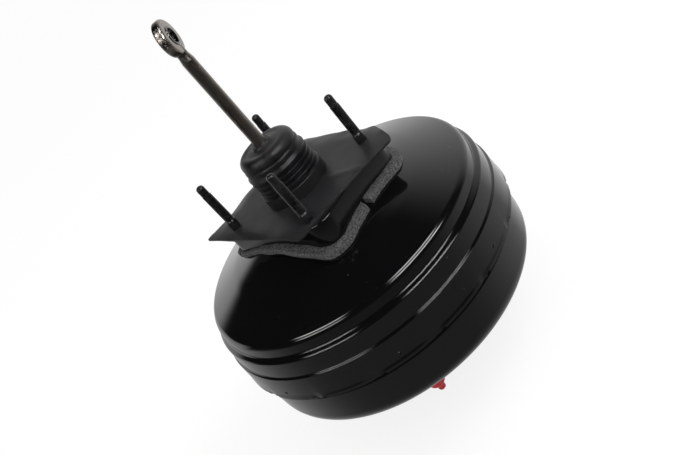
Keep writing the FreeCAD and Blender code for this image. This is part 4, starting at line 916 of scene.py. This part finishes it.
ground = step_node("ShaderNodeMath", "MULTIPLY", _0=side_floor.outputs[0], _1=0.34)
ground = step_node("ShaderNodeMath", "MULTIPLY_ADD", _0=near_floor, _1=0.17, _2=ground.outputs[0])
bright = step_node("ShaderNodeMath", "MAXIMUM", _0=bright.outputs[0], _1=ground.outputs[0])
bright = step_node("ShaderNodeMath", "ADD", _0=bright.outputs[0], _1=0.015)


def strip_light(total, centre, half_angle, first, last, width, strength):
    """Add a long soft box that runs from one direction to another."""
    side = Vector(first).cross(Vector(last)).normalized()
    across = step_node("ShaderNodeVectorMath", "DOT_PRODUCT", _0=direction.outputs["Vector"],
                       _1=tuple(side))
    across = step_node("ShaderNodeMath", "ABSOLUTE", _0=across.outputs["Value"])
    along = step_node("ShaderNodeVectorMath", "DOT_PRODUCT", _0=direction.outputs["Vector"],
                      _1=tuple(Vector(centre).normalized()))
    flank = smooth(across.outputs[0], width, width * 0.5)
    ends = smooth(along.outputs["Value"], math.cos(half_angle + 0.05), math.cos(half_angle - 0.1))
    inside = step_node("ShaderNodeMath", "MULTIPLY", _0=flank, _1=ends)
    return step_node("ShaderNodeMath", "MULTIPLY_ADD", _0=inside.outputs[0], _1=strength,
                     _2=total.outputs[0])


for centre, half_angle, first, last, width, strength in (
        ((0.509, 0.08, 0.856), 0.29, (0.497, 0.357, 0.791), (0.416, -0.209, 0.885), 0.06, 30),
        ((-0.153, -0.616, 0.773), 0.26, (0.086, -0.534, 0.841), (-0.401, -0.618, 0.676), 0.06, 20),
        ((0.863, 0.01, 0.505), 0.41, (0.813, 0.385, 0.441), (0.745, -0.399, 0.535), 0.06, 30),
        ((0.033, -0.895, 0.444), 0.30, (0.316, -0.808, 0.497), (-0.259, -0.892, 0.37), 0.05, 16)):
    bright = strip_light(bright, centre, half_angle, first, last, width, strength)
glow = step_node("ShaderNodeEmission", _1=bright.outputs[0])
result = nodes.new("ShaderNodeOutputMaterial")
links.new(glow.outputs[0], result.inputs["Surface"])
tent_light.cycles.emission_sampling = "NONE"
tent.data.materials.append(tent_light)

lamp_data = bpy.data.lights.new("soft_wall", "AREA")
lamp_data.energy = 7
lamp_data.size = 0.8
lamp = bpy.data.objects.new("soft_wall", lamp_data)
bpy.context.scene.collection.objects.link(lamp)
lamp.location = Vector((0.35, 0.8, 0.5)).normalized() * 1.2
lamp.rotation_euler = lamp.location.to_track_quat("Z", "Y").to_euler()
lamp.visible_glossy = False

# %% [markdown]
# The floor is white like the ground of the photograph and keeps a faint shadow. Most of its brightness
# is its own, so that it stays white without more light on the booster. It is clear from below, so that
# the face for the master cylinder can be looked at.

# %% Floor
start_clean()
bpy.ops.mesh.primitive_plane_add(size=60, location=(0, 0, solid_box[0][2] - 0.0005))
floor = bpy.context.object
floor.name = "floor"
floor.visible_glossy = False
floor_paint = bpy.data.materials.new("floor_paint")
floor_paint.use_nodes = True
nodes, links = floor_paint.node_tree.nodes, floor_paint.node_tree.links
shader = nodes["Principled BSDF"]
shader.inputs["Base Color"].default_value = (0.25, 0.25, 0.25, 1)
shader.inputs["Roughness"].default_value = 0.9
shader.inputs["Specular IOR Level"].default_value = 0.0
shader.inputs["Emission Color"].default_value = (1, 1, 1, 1)
shader.inputs["Emission Strength"].default_value = 0.84
side = nodes.new("ShaderNodeNewGeometry")
clear = nodes.new("ShaderNodeBsdfTransparent")
choice = nodes.new("ShaderNodeMixShader")
links.new(side.outputs["Backfacing"], choice.inputs[0])
links.new(shader.outputs["BSDF"], choice.inputs[1])
links.new(clear.outputs["BSDF"], choice.inputs[2])
links.new(choice.outputs[0], nodes["Material Output"].inputs["Surface"])
floor.data.materials.append(floor_paint)
bpy.context.scene.view_settings.view_transform = "Standard"
